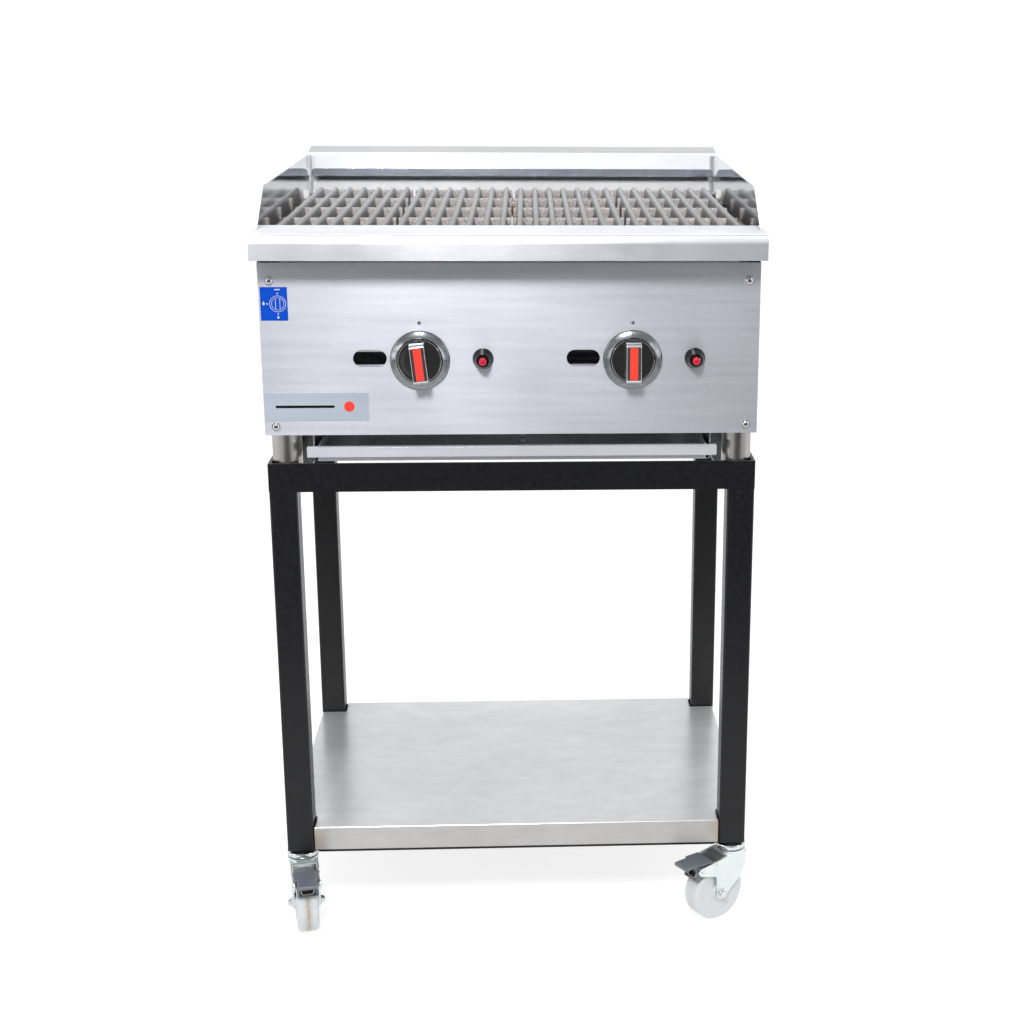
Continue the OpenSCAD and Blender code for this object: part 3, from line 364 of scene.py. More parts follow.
# Edge radii in millimetres, where the usual one would look too sharp
USUAL_EDGE = 0.3
EDGE_WIDTHS = {
    "stand_frame": 0.8, "feet": 0.5, "front_panel": 0.35, "front_ledge": 0.4, "rear_splash_guard": 0.4,
    "left_side_panel": 0.4, "right_side_panel": 0.4,
}
for name, node in nodes.items():
    slot = next(s["material_slot"] for s in frame["record"]["subparts"] if s["node"] == name)
    paint(node, slot)
    soften(node, EDGE_WIDTHS.get(name, USUAL_EDGE) * MM)


# ---- Mesh helpers ----


def finished(name, shape, body, slot, stands_for=(), edge=0.0, material=None):
    """Turns a bmesh in the frame's coordinates into a piece that rides on a body."""
    bmesh.ops.recalc_face_normals(shape, faces=shape.faces)
    mesh = bpy.data.meshes.new(name)
    shape.to_mesh(mesh)
    shape.free()
    piece = bpy.data.objects.new(name, mesh)
    bpy.context.scene.collection.objects.link(piece)
    paint(piece, slot)
    if material:
        piece.data.materials[0] = material
    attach(piece, body)
    if stands_for:
        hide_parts(*stands_for)
    return soften(piece, edge, join=False)


def lathe(shape, profile, place, steps):
    """Turns (radius, height) points round local Z; a radius of 0 closes the end."""
    rings = []
    for radius, height in profile:
        if radius == 0:
            rings.append([shape.verts.new(place @ Vector((0, 0, height)))])
        else:
            turn = [2 * math.pi * i / steps for i in range(steps)]
            rings.append([shape.verts.new(place @ Vector((radius * math.cos(t), radius * math.sin(t), height)))
                          for t in turn])
    for low, high in zip(rings, rings[1:]):
        for i in range(steps):
            j = (i + 1) % steps
            corners = [low[i % len(low)], low[j % len(low)], high[j % len(high)], high[i % len(high)]]
            shape.faces.new(list(dict.fromkeys(corners)))
    return shape


def prism(shape, outline, low, high, place):
    """Extrudes an outline of (x, y) points between two heights."""
    bottom = [shape.verts.new(place @ Vector((x, y, low))) for x, y in outline]
    top = [shape.verts.new(place @ Vector((x, y, high))) for x, y in outline]
    shape.faces.new(bottom[::-1])
    shape.faces.new(top)
    for i in range(len(outline)):
        j = (i + 1) % len(outline)
        shape.faces.new([bottom[i], bottom[j], top[j], top[i]])
    return shape


def skin(shape, rings):
    """Joins rings of equally many vertices one after another, and closes both ends."""
    for near, far in zip(rings, rings[1:]):
        for i in range(len(near)):
            j = (i + 1) % len(near)
            shape.faces.new([near[i], near[j], far[j], far[i]])
    shape.faces.new(rings[0])
    shape.faces.new(rings[-1][::-1])
    return shape


def arc(x, y, radius, start, end, steps):
    """Points along an arc, in degrees."""
    turns = [math.radians(start + (end - start) * i / steps) for i in range(steps + 1)]
    return [(x + radius * math.cos(t), y + radius * math.sin(t)) for t in turns]


def rounded(width, height, radius, steps=5):
    """Outline of a centred rectangle with round corners."""
    x, y = width / 2 - radius, height / 2 - radius
    return (arc(x, y, radius, 0, 90, steps) + arc(-x, y, radius, 90, 180, steps)
            + arc(-x, -y, radius, 180, 270, steps) + arc(x, -y, radius, 270, 360, steps))


def block(shape, low, high, place=Matrix()):
    """A box between two corners."""
    outline = [(low[0], low[1]), (high[0], low[1]), (high[0], high[1]), (low[0], high[1])]
    return prism(shape, outline, low[2], high[2], place)


def mm(points):
    """Pairs in millimetres as metres."""
    return [(a * MM, b * MM) for a, b in points]


def facing_front(x, z, turn=0):
    """Local X to the right, Y up and Z toward the viewer, on the control panel at that place."""
    return (Matrix.Translation((x, panel_y, z)) @ Matrix.Rotation(math.radians(90), 4, "X")
            @ Matrix.Rotation(math.radians(turn), 4, "Z"))


def axis_of(name):
    """Middle of a node's box in X and Z."""
    low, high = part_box(name)
    return (low.x + high.x) / 2, (low.z + high.z) / 2


panel_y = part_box("front_panel")[0].y

# ---- Knobs, bezels and igniters ----


# A knob grip from the disc out to its face: height, half length, half width and corner radius in millimetres
GRIP_RINGS = ((7, 25.8, 10.6, 1.6), (25, 25.2, 9.7, 1.5), (28.5, 24.7, 9.5, 1.5), (31, 23.4, 9.3, 1.4),
              (32.4, 21.9, 9.1, 1.3), (32.9, 20.9, 8.7, 1.2), (33, 20.4, 8.3, 1.1))


def knob(side, turn):
    """Chromed knob: thin-edged disc, tapered grip with sloped ends and a framed red strip."""
    x, z = axis_of(f"{side}_knob")
    place = facing_front(x, z, turn)
    body = f"{side}_knob_body"
    shape = lathe(bmesh.new(), mm((
        (0, 8.6), (8, 8.55), (16, 8.3), (22, 7.8), (24.6, 7.4), (25.4, 7.6), (25.8, 8.6), (26.3, 9.0), (26.8, 8.6),
        (27, 7.6), (27, 6), (0, 6))), place, 96)
    finished(f"{side}_knob_disc", shape, body, "chrome", [f"{side}_knob"], material=chrome_painted_dark)
    shape = bmesh.new()
    rings = []
    for height, half_l, half_w, corner in GRIP_RINGS:
        outline = rounded(2 * half_w * MM, 2 * half_l * MM, corner * MM, 4)
        rings.append([shape.verts.new(place @ Vector((u, v, height * MM))) for u, v in outline])
    finished(f"{side}_knob_grip", skin(shape, rings), body, "chrome", material=bright_chrome)
    reach = GRIP_RINGS[-1][0]
    strip = prism(bmesh.new(), rounded(9.6 * MM, 39.6 * MM, 0.8 * MM), (reach - 1.0) * MM, (reach + 0.3) * MM, place)
    finished(f"{side}_knob_strip", strip, body, "red_plastic", [f"{side}_knob_insert"], 0.25 * MM)


def bezel(x, z, name, stands_for):
    """Dished chromed ring on the panel with marks at twelve, three and nine o'clock."""
    place = facing_front(x, z)
    shape = lathe(bmesh.new(), mm((
        (10.2, 0), (36.5, 0), (36.6, 1.6), (36.0, 2.6), (34.9, 3.2), (32.5, 4.3), (30.2, 5.6), (28.9, 6.5),
        (28.3, 6.9), (27.8, 6.7), (27.6, 5.8), (27.6, 1.2), (10.2, 1.2), (10.2, 0))), place, 128)
    finished(name, shape, "root", "chrome", stands_for, material=ring_chrome_painted_dark)
    shape = bmesh.new()
    # Each mark lies on the ring's slope, which drops outward by 27 degrees
    slope = Matrix.Translation((31.6 * MM, 0, 5.0 * MM)) @ Matrix.Rotation(math.radians(27), 4, "Y")
    for angle in (0, 90, 180):
        turned = place @ Matrix.Rotation(math.radians(angle), 4, "Z")
        block(shape, (-1.9 * MM, -0.45 * MM, -0.1 * MM), (1.9 * MM, 0.45 * MM, 0.12 * MM), turned @ slope)
    finished(f"{name}_marks", shape, "root", "black_plastic")


def igniter(side, stands_for):
    """Glossy tapered collar with a red push button."""
    x, z = axis_of(f"{side}_igniter_button")
    place = facing_front(x, z)
    shape = lathe(bmesh.new(), mm((
        (8.5, 0), (12.3, 0), (12.8, 0.5), (12.8, 1.4), (12.2, 2.6), (10.4, 8.0), (8.9, 13.5), (8.2, 16.6),
        (7.8, 17.6), (7.2, 18.0), (6.2, 18.0), (5.7, 17.5), (5.6, 4), (8.5, 4), (8.5, 0))), place, 72)
    finished(f"{side}_igniter_collar", shape, "root", "black_plastic", stands_for, material=glossy_black)
    shape = lathe(bmesh.new(), mm((
        (0, 26.0), (3.2, 25.8), (4.1, 25.2), (4.6, 24.2), (4.8, 23.0), (4.8, 10), (0, 10))), place, 48)
    finished(f"{side}_igniter_cap", shape, f"{side}_button_body", "crimson_plastic", [f"{side}_igniter_button"])


def position_mark(side):
    """Low button on the panel above a knob."""
    x, z = axis_of(f"{side}_knob")
    shape = lathe(bmesh.new(), mm(((0, 1.1), (1.0, 1.0), (1.8, 0.6), (2.3, 0), (0, -0.2))),
                  facing_front(x, z + 45.5 * MM), 32)
    finished(f"{side}_position_mark", shape, "root", "panel_steel", material=ring_chrome_painted_dark)


def slot_strip(side):
    """Folded strip behind the lower edge of a lighting slot, left of and below the knob."""
    x, z = axis_of(f"{side}_knob")
    left, down, half = 61 * MM, 8.25 * MM, 25.5 * MM
    fold = mm(((1.5, -8), (10.5, -8), (10.5, 0.9), (9, 0.9), (9, -6.5), (1.5, -6.5)))
    place = Matrix(((0, 0, 1, x - left), (1, 0, 0, panel_y), (0, 1, 0, z - down), (0, 0, 0, 1)))
    # The strip's darker steel is painted shade inside the slot
    finished(f"{side}_slot_strip", prism(bmesh.new(), fold, -half, half, place), "root", "panel_steel",
             edge=0.2 * MM, material=shaded_strip_steel)


# The left knob stands a few degrees off upright; both bezels and both collars are one CAD node each
for side, turn, rings_node, bodies_node in (("left", 6, ["knob_bezels"], ["igniter_bodies"]), ("right", 0, (), ())):
    knob(side, turn)
    bezel(*axis_of(f"{side}_knob"), f"{side}_bezel", rings_node)
    igniter(side, bodies_node)
    position_mark(side)
    slot_strip(side)

for name, material in (("rear_splash_guard", splash_painted_bright), ("rear_panel", rear_steel),
                       ("flue_deflector", deflector_reflection_blue)):
    nodes[name].data.materials[0] = material


def screws():
    """Washers under domed hex-socket screws at the panel's corners."""
    low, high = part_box("panel_screws")
    washer_r = 5.6 * MM
    profile = mm(((0, 0), (5.5, 0), (5.6, 0.3), (5.5, 0.8), (5.2, 1.0), (4.4, 0.9), (4.3, 1.3), (3.9, 2.3),
                  (3.0, 3.0), (2.1, 3.2), (1.8, 3.1), (1.7, 1.5), (0, 1.4)))
    shape = bmesh.new()
    for x in (low.x + washer_r, high.x - washer_r):
        for z in (low.z + washer_r, high.z - washer_r):
            lathe(shape, profile, facing_front(x, z), 48)
    finished("corner_screws", shape, "root", "screw_steel", ["panel_screws"])


screws()

# ---- Label and name plate ----


def on_face(name, right=0.0):
    """Local X right, Y up and Z toward the viewer, on the middle of a node's front face or right of it."""
    low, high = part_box(name)
    x, z = (low.x + high.x) / 2 + right, (low.z + high.z) / 2
    return Matrix.Translation((0, low.y - panel_y, 0)) @ facing_front(x, z)


def dial_print():
    """White outlines printed on the blue card: a knob, dots and plain flame drops."""
    place = on_face("dial_label", 4.6 * MM)
    print_h, line = 0.06 * MM, 0.55 * MM
    shape = bmesh.new()
    for radius, thick in ((9.7 * MM, line), (7.4 * MM, line * 0.8)):
        steps = 40
        outer = arc(0.0, 0.0, radius + thick / 2, 0, 360, steps)
        inner = arc(0.0, 0.0, radius - thick / 2, 0, 360, steps)
        for i in range(steps):
            prism(shape, [outer[i], outer[i + 1], inner[i + 1], inner[i]], 0, print_h, place)
    for x in (-2.6 * MM, 2.6 * MM):
        block(shape, (x - line / 2, -6.4 * MM, 0), (x + line / 2, 6.4 * MM, print_h), place)
    for x, y in ((0, 12.5), (-12.6, 0), (0, -12.3)):
        lathe(shape, [(0, print_h), (0.9 * MM, print_h), (0.9 * MM, 0), (0, 0)],
              place @ Matrix.Translation((x * MM, y * MM, 0)), 16)
    # A drop at the left and one at the bottom
    for x, y, size in ((-17.0, 0, 1.5), (0, -16.8, 1.3)):
        drop = arc(x * MM, y * MM, size * MM, -220, 40, 14) + [(x * MM, (y + 2.2 * size) * MM)]
        prism(shape, drop, 0, print_h, place)
    block(shape, (-3.4 * MM, 16.6 * MM, 0), (3.4 * MM, 18.0 * MM, print_h), place)
    finished("dial_print", shape, "root", "nylon")


def plate_emblem():
    """A plain dark bar and a red disc where the plate would carry a name."""
    place = on_face("name_plate")
    bar_h, disc_h, disc_r = 0.08 * MM, 0.1 * MM, 6.5 * MM
    bar = prism(bmesh.new(), rounded(72 * MM, 3.2 * MM, 1.5 * MM), 0, bar_h,
                place @ Matrix.Translation((-14 * MM, 0, 0)))
    finished("plate_bar", bar, "root", "black_plastic")
    disc = lathe(bmesh.new(), [(0, disc_h), (disc_r, disc_h), (disc_r, 0), (0, 0)],
                 place @ Matrix.Translation((40 * MM, 0, 0)), 48)
    finished("plate_disc", disc, "root", "red_plastic")


dial_print()
plate_emblem()

# ---- Cast grates ----


def rough_vertex(point, size, depth):
    """Moves a point a little, as the sand mould leaves the iron."""
    return point + noise.noise_vector(point / size) * depth


def grate(number):
    """Seven wedge bars with rounded ridges over cross webs, with a cast skin."""
    body = f"grate_{number}_body"
    low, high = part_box(f"grate_{number}")
    length, bar_h, foot, ridge_r = high.y - low.y, 22 * MM, 15.6 * MM, 3.6 * MM
    bars, bar_steps, gap = 7, 116, 3 * MM
    pitch = (high.x - low.x + gap) / bars
    rise = (high.z - low.z - bar_h) / length
    section = [(-foot / 2, 0), (-foot * 0.36, 0.36 * bar_h), (-ridge_r * 1.12, bar_h - ridge_r * 1.2)]
    section += arc(0, bar_h - ridge_r, ridge_r, 165, 15, 8)
    section += [(ridge_r * 1.12, bar_h - ridge_r * 1.2), (foot * 0.36, 0.36 * bar_h), (foot / 2, 0)]
    shape = bmesh.new()
    for bar in range(bars):
        x = (low.x + high.x) / 2 + (bar - (bars - 1) / 2) * pitch
        rings = []
        for i in range(bar_steps + 1):
            y = low.y + length * i / bar_steps
            # The ridge falls away at both ends
            top = min(bar_h, bar_h - 9 * MM + (y - low.y), bar_h - 3 * MM + (high.y - y))
            ring = []
            for u, v in section:
                point = Vector((x + u, y, low.z + min(v, top) + rise * (y - low.y)))
                point = rough_vertex(rough_vertex(point, 6 * MM, 0.28 * MM), 40 * MM, 0.35 * MM)
                ring.append(shape.verts.new(point))
            rings.append(ring)
        skin(shape, rings)
    finished(f"grate_{number}_bars", shape, body, "cast_iron", [f"grate_{number}"])
    webs, web_steps, thick = 5, 72, 6 * MM
    # Place along the grate and share of the height round a web's section
    edge = [(-thick / 2, 0), (-thick / 2, 0.5), (-thick / 2, 0.85), (-thick * 0.3, 1), (thick * 0.3, 1),
            (thick / 2, 0.8), (thick / 2, 0)]
    shape = bmesh.new()
    for web in range(webs):
        y = low.y + 0.5 * thick + (length - thick) * web / (webs - 1)
        base = low.z + rise * (y - low.y)
        top = base + (11 if web == 0 else 18) * MM
        rings = []
        for i in range(web_steps + 1):
            x = low.x + (high.x - low.x) * i / web_steps
            points = [Vector((x, y + u, base + (top - base) * v)) for u, v in edge]
            rings.append([shape.verts.new(rough_vertex(p, 5 * MM, 0.4 * MM)) for p in points])
        skin(shape, rings)
    finished(f"grate_{number}_webs", shape, body, "cast_iron", material=web_iron)


def web_finish():
    """The webs' raw casting: pale, pitted and speckled."""
    made = Finish("web_iron", Metallic=0.1)
    speck = made.noise(420, detail=4, roughness=0.75)
    cloud = made.noise(70, detail=2)
    tone = made.ramp(speck, (0.36, (0.16, 0.14, 0.13)), (0.46, (0.44, 0.40, 0.38)), (0.64, (0.62, 0.58, 0.56)))
    made.set(Base_Color=made.blend(0.3, tone, made.ramp(cloud, (0.3, 0.6), (0.7, 1.0)), "MULTIPLY"))
    made.set(Roughness=made.span(cloud, 0.55, 0.75))
    return made.bump(speck, 0.4 * MM).material


web_iron = web_finish()
# The noise takes its seed from the clock unless it is given one
noise.seed_set(1)
for number in range(1, 5):
    grate(number)

# ---- Folds of the guards, and a painted shade line on the ledge ----


def guard_fold(side, inward):
    """Narrow return fold where a side guard meets the rear splash."""
    low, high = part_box(f"{side}_splash_guard")
    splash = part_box("rear_splash_guard")[0]
    x_in = high.x if inward > 0 else low.x
    x_edge = x_in + inward * 6.5 * MM
    y = splash.y - 0.1 * MM
    shape = block(bmesh.new(), (min(x_in, x_edge), y - 1.2 * MM, splash.z + 1 * MM),
                  (max(x_in, x_edge), y, high.z - 1.5 * MM))
    finished(f"{side}_guard_fold", shape, "root", "ledge_steel", edge=0.3 * MM)


def ledge_shade_line():
    """Painted shade: a fine dark line where the flat top of the ledge rolls into its nose."""
    low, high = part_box("front_ledge")
    nose, turn = 12 * MM, math.radians(30)
    y = low.y + nose - nose * math.sin(turn)
    z = high.z - 2 * MM - nose + nose * math.cos(turn)
    place = Matrix.Translation((0, y, z)) @ Matrix.Rotation(math.radians(90), 4, "Y")
    half, line_r = (high.x - low.x) / 2 - 1 * MM, 0.45 * MM
    shape = lathe(bmesh.new(), [(0, -half), (line_r, -half), (line_r, half), (0, half)], place, 12)
    finished("ledge_shade_line", shape, "root", "ledge_steel", material=crease_shade)


guard_fold("left", 1)
guard_fold("right", -1)
ledge_shade_line()

# ---- Undershelf ----


def shelf():
    """Bent sheet notched round the legs, with rounded bends along its edges."""
    low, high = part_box("undershelf")
    mid_y, bend, sheet, notch = (low.y + high.y) / 2, 2.2 * MM, 1.2 * MM, 35.5 * MM
    half_x, half_y = (high.x - low.x) / 2, (high.y - low.y) / 2

    def plan(inset):
        wide, deep = half_x - inset, half_y - inset
        near_x, near_y = half_x - notch - inset, half_y - notch - inset
        corner = [(wide, near_y), (near_x, near_y), (near_x, deep)]
        points = []
        for sx, sy in ((1, 1), (-1, 1), (-1, -1), (1, -1)):
            part = [(sx * u, sy * v) for u, v in corner]
            points += part if sx * sy > 0 else part[::-1]
        return points

    turns = [math.radians(15 * i) for i in range(7)]
    levels = [(sheet, low.z + 0.2 * MM), (0.8 * sheet, low.z), (0.2 * sheet, low.z), (0, low.z + 0.2 * MM)]
    levels += [(bend - bend * math.cos(t), high.z - bend + bend * math.sin(t)) for t in turns]
    shape = bmesh.new()
    rings = [[shape.verts.new((x, mid_y + y, z)) for x, y in plan(inset)] for inset, z in levels]
    rings.insert(0, [shape.verts.new((x, mid_y + y, high.z - sheet)) for x, y in plan(sheet)])
    piece = finished("shelf_sheet", skin(shape, rings), "root", "shelf_steel", ["undershelf"])
    # Brown heat tint on the front edge beside each leg
    made = FINISHES["shelf_steel"]("welded_shelf")
    out = made.calc("ABSOLUTE", made.add("SeparateXYZ", {0: made.add("TexCoord").outputs["Object"]}).outputs["X"])
    end = half_x - notch
    near_leg = made.between(out, end - 22 * MM, end)
    near_front = made.axis("Y", low.y + 3 * MM, low.y)
    stain = made.span(made.noise(60, detail=4), 0.1, 1.1)
    amount = made.calc("MULTIPLY", made.calc("MULTIPLY", near_leg, near_front), stain)
    tinted = made.blend(1.0, made.colour(), (0.90, 0.76, 0.62), "MULTIPLY")
    made.set(Base_Color=made.blend(amount, made.colour(), tinted))
    piece.data.materials[0] = made.material


shelf()

# ---- Casters ----

# Local X, Y, Z of a side outline drawn as (trail, height) and extruded across the caster
ACROSS = Matrix(((0, 0, 1, 0), (-1, 0, 0, 0), (0, 1, 0, 0), (0, 0, 0, 1)))
joints = {j["name"]: j for j in frame["record"]["behaviour"]["joints"]}


def tube(shape, points, radius, place):
    """A round wire through points that lie in one plane, with flat ends."""
    sides = 10
    points = [Vector(p) * MM for p in points]
    rings = []
    for i, point in enumerate(points):
        run = (points[min(i + 1, len(points) - 1)] - points[max(i - 1, 0)]).normalized()
        side = run.cross(Vector((0, 1, 0.3)).normalized()).normalized()
        over = run.cross(side)
        turn = [2 * math.pi * k / sides for k in range(sides)]
        ring = [point + (side * math.cos(t) + over * math.sin(t)) * radius for t in turn]
        rings.append([shape.verts.new(place @ corner) for corner in ring])
    return skin(shape, rings)


def caster_frame(corner):
    """A caster's own frame: origin under the swivel axis, X along the axle, the wheel toward -Y."""
    swivel, spin = (joints[f"{corner}_{k}"] for k in ("caster_swivel", "wheel_spin"))
    x_axis = Vector(spin["axis"])
    y_axis = Vector((0, 0, 1)).cross(x_axis)
    origin = Vector((swivel["pos_m"][0], swivel["pos_m"][1], 0))
    trail = (origin - Vector(spin["pos_m"])).dot(y_axis)
    turn = Matrix((x_axis, y_axis, (0, 0, 1))).transposed().to_4x4()
    return Matrix.Translation(origin) @ turn, trail, spin["pos_m"][2]


def race(corner, stands_for):
    """Domed upper race pressed from sheet, with the kingpin's head below the crown."""
    place, _, _ = caster_frame(corner)
    shape = lathe(bmesh.new(), mm((
        (0, 107.6), (12.6, 107.6), (14.2, 107.2), (16.0, 105.6), (17.6, 104.5), (19.0, 104.1), (20.0, 103.6),
        (20.6, 102.6), (20.7, 100.8), (20.5, 98.6), (20.0, 97.2), (19.0, 96.3), (17.5, 96.1), (6.0, 96.1),
        (6.0, 89.9), (8.3, 89.9), (8.3, 85.4), (7.4, 84.4), (0, 84.4))), place, 96)
    finished(f"{corner}_race", shape, "root", "zinc", stands_for, material=race_chrome)


def axle_ends(corner):
    """Flanged hexagon with a short thread end on each side, joined by the axle's shank."""
    place, trail, height = caster_frame(corner)
    axle = place @ Matrix.Translation((0, -trail, height)) @ Matrix.Rotation(math.radians(90), 4, "Y")
    hexagon = arc(0, 0, 5.6 * MM, 0, 300, 5)
    shape = bmesh.new()
    for turn in (0, 180):
        out = axle @ Matrix.Rotation(math.radians(turn), 4, "X") @ Matrix.Translation((0, 0, 18.5 * MM))
        lathe(shape, mm(((0, 0), (6.8, 0), (7.0, 0.4), (6.8, 0.9), (5.6, 1.5), (0, 1.5))), out, 48)
        prism(shape, hexagon, 1.2 * MM, 4.6 * MM, out)
        lathe(shape, mm(((0, 4.5), (4.9, 4.5), (4.4, 5.1), (3.6, 5.3), (3.4, 6.0), (0, 6.1))), out, 32)
    lathe(shape, mm(((0, -18.4), (5.9, -18.4), (5.9, 18.4), (0, 18.4))), axle, 32)
    finished(f"{corner}_axle_bolt", shape, f"{corner}_swivel", "zinc", [f"{corner}_axle"], 0.3 * MM,
             material=race_chrome)


# Stations along a pedal's tread: trail, half width, top and underside in millimetres; its wings lie over
# the fork's arms
TREAD = ((43.2, 16.2, 90.8, 88.9), (43.7, 17.0, 91.2, 88.8), (63.8, 17.0, 91.0, 88.8), (64.6, 16.4, 90.9, 88.8),
         (65.2, 13.4, 90.8, 87.2), (83.4, 13.2, 90.4, 85.8), (85.3, 12.8, 89.9, 85.6), (86.1, 12.0, 88.8, 86.5))
# Outlines of its other parts as (trail, height)
PEDAL_WEB = ((50, 89), (52, 84), (54, 76.5), (58.8, 69.6), (59.5, 68.2), (64.8, 64.8), (68, 66), (68.3, 68),
             (66.6, 71.5), (66.8, 78), (68.5, 82.5), (72, 87.5))
PEDAL_SOLE = ((59.8, 68.1), (64.8, 64.9), (67.8, 66), (68.0, 66.9), (60.8, 69.4))
PEDAL_RIB = ((54, 87.3), (58.5, 83), (64.5, 83), (69, 87))
# A black block stands for painted shade inside the pedal between its webs
PEDAL_SHADE_BLOCK = ((55.2, 84), (60.2, 69.8), (62, 69.2), (61, 84))
LEAF_SPRING = ((17, 89.6), (42.8, 87.2), (43, 85.6), (17, 88.0))
PEDAL_WIRE = ((-8.2, -63.2, 80.5), (-8.4, -65.2, 73.4), (-7.9, -65.8, 70.6), (-6.2, -66.1, 69.0), (0, -66.2, 68.6),
              (6.2, -66.1, 69.0), (7.9, -65.8, 70.6), (8.4, -65.2, 73.4), (8.2, -63.2, 80.5))


def brake(corner, side):
    """Slate pedal with a T-shaped tread, its shoe and wire clip, and the fork's rivets and leaf spring."""
    place, trail, _ = caster_frame(corner)
    body = f"{side}_pedal_body"
    shape = bmesh.new()
    rings = []
    for along, half, top, under in TREAD:
        section = [(-half, under + 0.6), (-half, top - 1.2), (-half + 0.4, top - 0.4), (-half + 1.2, top),
                   (half - 1.2, top), (half - 0.4, top - 0.4), (half, top - 1.2), (half, under + 0.6),
                   (half - 0.8, under), (-half + 0.8, under)]
        rings.append([shape.verts.new(place @ Vector((x * MM, -along * MM, z * MM))) for x, z in section])
    skin(shape, rings)
    side_place = place @ ACROSS
    for x in (-11.8, 11.8):
        prism(shape, mm(PEDAL_WEB), (x - 1.6) * MM, (x + 1.6) * MM, side_place)
    for outline in (PEDAL_SOLE, PEDAL_RIB):
        prism(shape, mm(outline), -12 * MM, 12 * MM, side_place)
    finished(f"{side}_pedal", shape, body, "grey_plastic", [f"{side}_brake_pedal"], 0.4 * MM)
    # Painted shade between the pedal's webs
    shape = prism(bmesh.new(), mm(PEDAL_SHADE_BLOCK), -10 * MM, 10 * MM, side_place)
    finished(f"{side}_pedal_shade_block", shape, body, "black_plastic")
    shape = tube(bmesh.new(), PEDAL_WIRE, 0.85 * MM, place)
    finished(f"{side}_pedal_wire", shape, body, "zinc", material=wire_beige)
    shape = prism(bmesh.new(), mm(LEAF_SPRING), -15.4 * MM, 15.4 * MM, side_place)
    finished(f"{corner}_leaf_spring", shape, f"{corner}_swivel", "zinc", edge=0.3 * MM, material=dark_leaf)
    # The pedal's pivot behind the axle, and a rivet in the fork's arm
    shape = bmesh.new()
    for along, height, size in ((trail / MM + 33, 80, 3.1), (37.5, 84.5, 2.7)):
        pin = place @ Matrix.Translation((0, -along * MM, height * MM)) @ Matrix.Rotation(math.radians(90), 4, "Y")
        dome = mm(((0, 0), (size, 0), (size, 0.5), (size * 0.85, 0.9), (size * 0.6, 1.0), (size * 0.4, 0.6),
                   (0, 0.5)))
        for turn in (0, 180):
            out = pin @ Matrix.Rotation(math.radians(turn), 4, "X") @ Matrix.Translation((0, 0, 18.3 * MM))
            lathe(shape, dome, out, 32)
    finished(f"{corner}_rivets", shape, f"{corner}_swivel", "zinc", material=race_chrome)


def dirty_nylon(corner, dirt):
    """White nylon with a brown streak of dirt worn into the middle of the tread."""
    place, trail, height = caster_frame(corner)
    made = FINISHES["nylon"](f"{corner}_nylon")
    middle = place @ Vector((0, -trail, height))
    x_axis = place.to_3x3() @ Vector((1, 0, 0))
    away = made.add("VectorMath", {0: made.add("TexCoord").outputs["Object"], 1: middle}, operation="SUBTRACT")
    off = made.add("VectorMath", {0: away.outputs[0], 1: x_axis}, operation="DOT_PRODUCT").outputs["Value"]
    ragged = made.span(made.noise(480, detail=5, roughness=0.85), 0.0, 8 * MM)
    spread = made.calc("ADD", made.calc("ABSOLUTE", off), ragged)
    streak = made.ramp(made.between(spread, 3 * MM, 10 * MM), (0.0, dirt), (1.0, 0))
    reach = made.add("VectorMath", {0: away.outputs[0]}, operation="LENGTH").outputs["Value"]
    tread = made.between(reach, 37 * MM, 39 * MM)
    specks = made.ramp(made.noise(800, detail=3, roughness=0.7), (0.42, 0.2), (0.52, 1))
    amount = made.blend(1.0, made.blend(1.0, streak, tread, "MULTIPLY"), specks, "MULTIPLY")
    made.set(Base_Color=made.blend(amount, made.colour(), (0.24, 0.14, 0.05)))
    return made.material


# The four heads are one CAD node, and only the front left wheel is really dirty
for corner, heads_node, dirt in (("front_left", ["caster_heads"], 1.0), ("front_right", (), 0.2),
                                 ("back_left", (), 0.2), ("back_right", (), 0.2)):
    race(corner, heads_node)
    axle_ends(corner)
    nodes[f"{corner}_wheel"].data.materials[0] = dirty_nylon(corner, dirt)
brake("front_left", "left")
brake("front_right", "right")

# ---- Studio ----


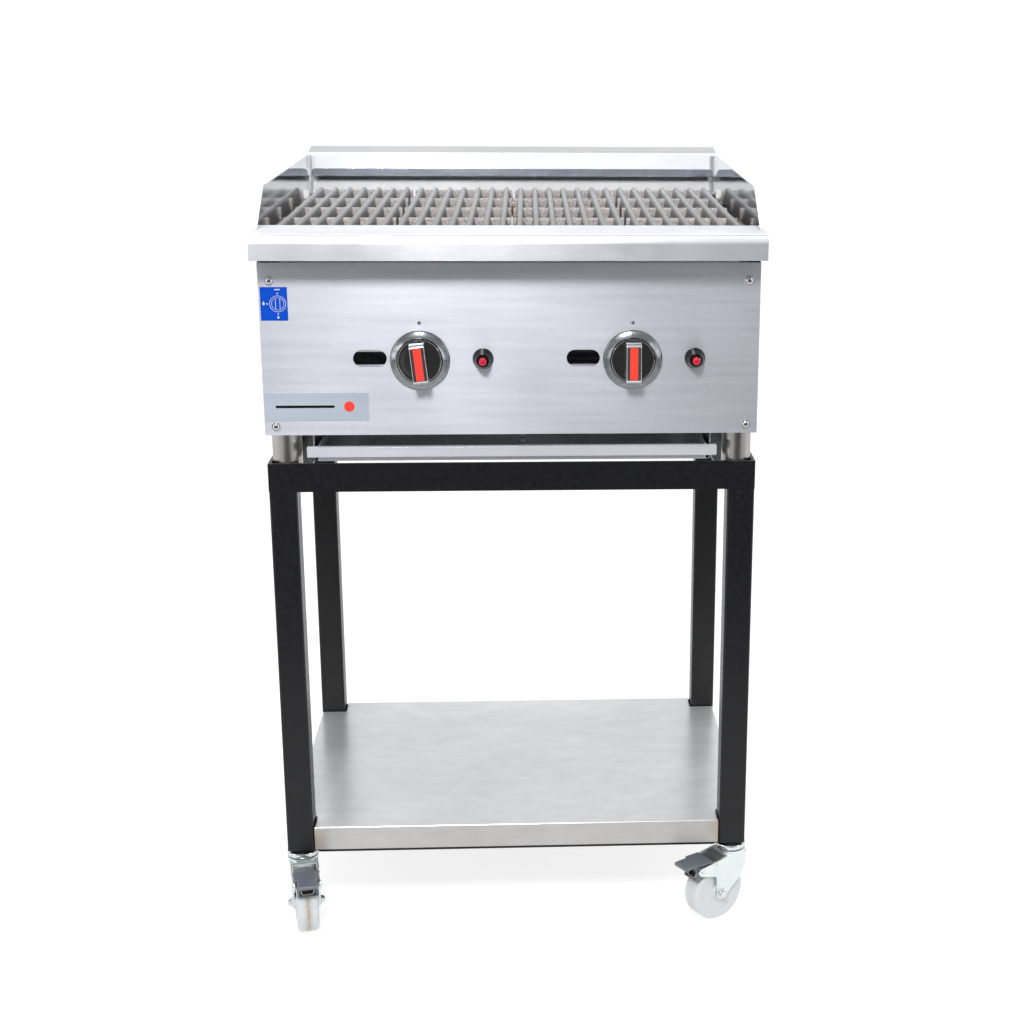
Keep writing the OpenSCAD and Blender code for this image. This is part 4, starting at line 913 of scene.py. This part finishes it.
def studio():
    """Pale sweep, a dark room in front of it, a key light from the front and the camera."""
    scene = bpy.context.scene
    scene.view_settings.view_transform = "Standard"
    sweep = bmesh.new()
    corners = [sweep.verts.new(p) for p in ((-9, FLOOR_FRONT, 0), (9, FLOOR_FRONT, 0), (9, 12, 0), (-9, 12, 0))]
    sweep.faces.new(corners)
    floor_mesh = bpy.data.meshes.new("floor")
    sweep.to_mesh(floor_mesh)
    sweep.free()
    floor = bpy.data.objects.new("floor", floor_mesh)
    scene.collection.objects.link(floor)
    pale = Finish("pale_floor", Roughness=0.9, Specular_IOR_Level=0.1, Emission_Strength=0.72)
    tone = pale.ramp(pale.noise(1.5, detail=2), (0.3, 0.40), (0.7, 0.43))
    pale.set(Base_Color=tone)
    pale.shader.inputs["Emission Color"].default_value = (1, 1, 1, 1)
    floor_mesh.materials.append(pale.material)

    world = bpy.data.worlds.new("studio")
    scene.world = world
    world.use_nodes = True
    tree = world.node_tree
    tree.nodes.clear()
    make, link = tree.nodes.new, tree.links.new
    # A dark room behind the camera, and bright walls, ceiling and sweep everywhere else
    place, toward = make("ShaderNodeTexCoord"), make("ShaderNodeVectorMath")
    toward.operation = "DOT_PRODUCT"
    toward.inputs[1].default_value = Vector((0.10, -1, -0.14)).normalized()
    link(place.outputs["Generated"], toward.inputs[0])
    depth = make("ShaderNodeMapRange")
    depth.interpolation_type = "SMOOTHSTEP"
    for key, value in (("From Min", 0.80), ("From Max", 0.97), ("To Min", 0.86), ("To Max", 0.10)):
        depth.inputs[key].default_value = value
    link(toward.outputs["Value"], depth.inputs["Value"])
    lit, seen, pick = make("ShaderNodeBackground"), make("ShaderNodeBackground"), make("ShaderNodeMixShader")
    lit.inputs["Color"].default_value = (0.96, 0.98, 1.0, 1)
    link(depth.outputs[0], lit.inputs["Strength"])
    seen.inputs["Color"].default_value = (1, 1, 1, 1)
    seen.inputs["Strength"].default_value = 1.05
    path = make("ShaderNodeLightPath")
    link(path.outputs["Is Camera Ray"], pick.inputs["Fac"])
    link(lit.outputs[0], pick.inputs[1])
    link(seen.outputs[0], pick.inputs[2])
    link(pick.outputs[0], make("ShaderNodeOutputWorld").inputs["Surface"])

    for name, place, aim, size, power in LAMPS:
        lamp = bpy.data.lights.new(name, "AREA")
        lamp.shape = "RECTANGLE"
        lamp.size, lamp.size_y = size
        lamp.energy = power
        holder = bpy.data.objects.new(name, lamp)
        holder.location = place
        holder.rotation_euler = (Vector(aim) - Vector(place)).to_track_quat("-Z", "Y").to_euler()
        scene.collection.objects.link(holder)

    lens = bpy.data.cameras.new("camera")
    lens.lens, lens.sensor_width = 59.1, 36
    lens.shift_x, lens.shift_y = -0.110, 0.007
    camera = bpy.data.objects.new("camera", lens)
    eye, pitch, yaw, roll = (0.022, -2.3174, 1.1465), 15.8, 3.3, 0.4
    camera.matrix_world = (
        Matrix.Translation(eye)
        @ Matrix.Rotation(math.radians(-yaw), 4, "Z")
        @ Matrix.Rotation(math.radians(90 - pitch), 4, "X")
        @ Matrix.Rotation(math.radians(roll), 4, "Z")
    )
    scene.collection.objects.link(camera)
    scene.camera = camera


FLOOR_FRONT = -1.15
# Name, place, aim, size and watts of each soft light
LAMPS = (
    ("key", (-0.30, -2.45, 2.45), (0, 0, 0.75), (0.5, 0.5), 60),
    ("overhead", (0.0, 0.3, 2.6), (0, 0, 0.8), (2.4, 1.6), 14),
    ("left_strip", (-2.2, -1.5, 1.3), (0, 0, 0.7), (0.5, 1.6), 9),
    ("right_strip", (2.2, -1.5, 1.3), (0, 0, 0.7), (0.5, 1.6), 9),
)
studio()
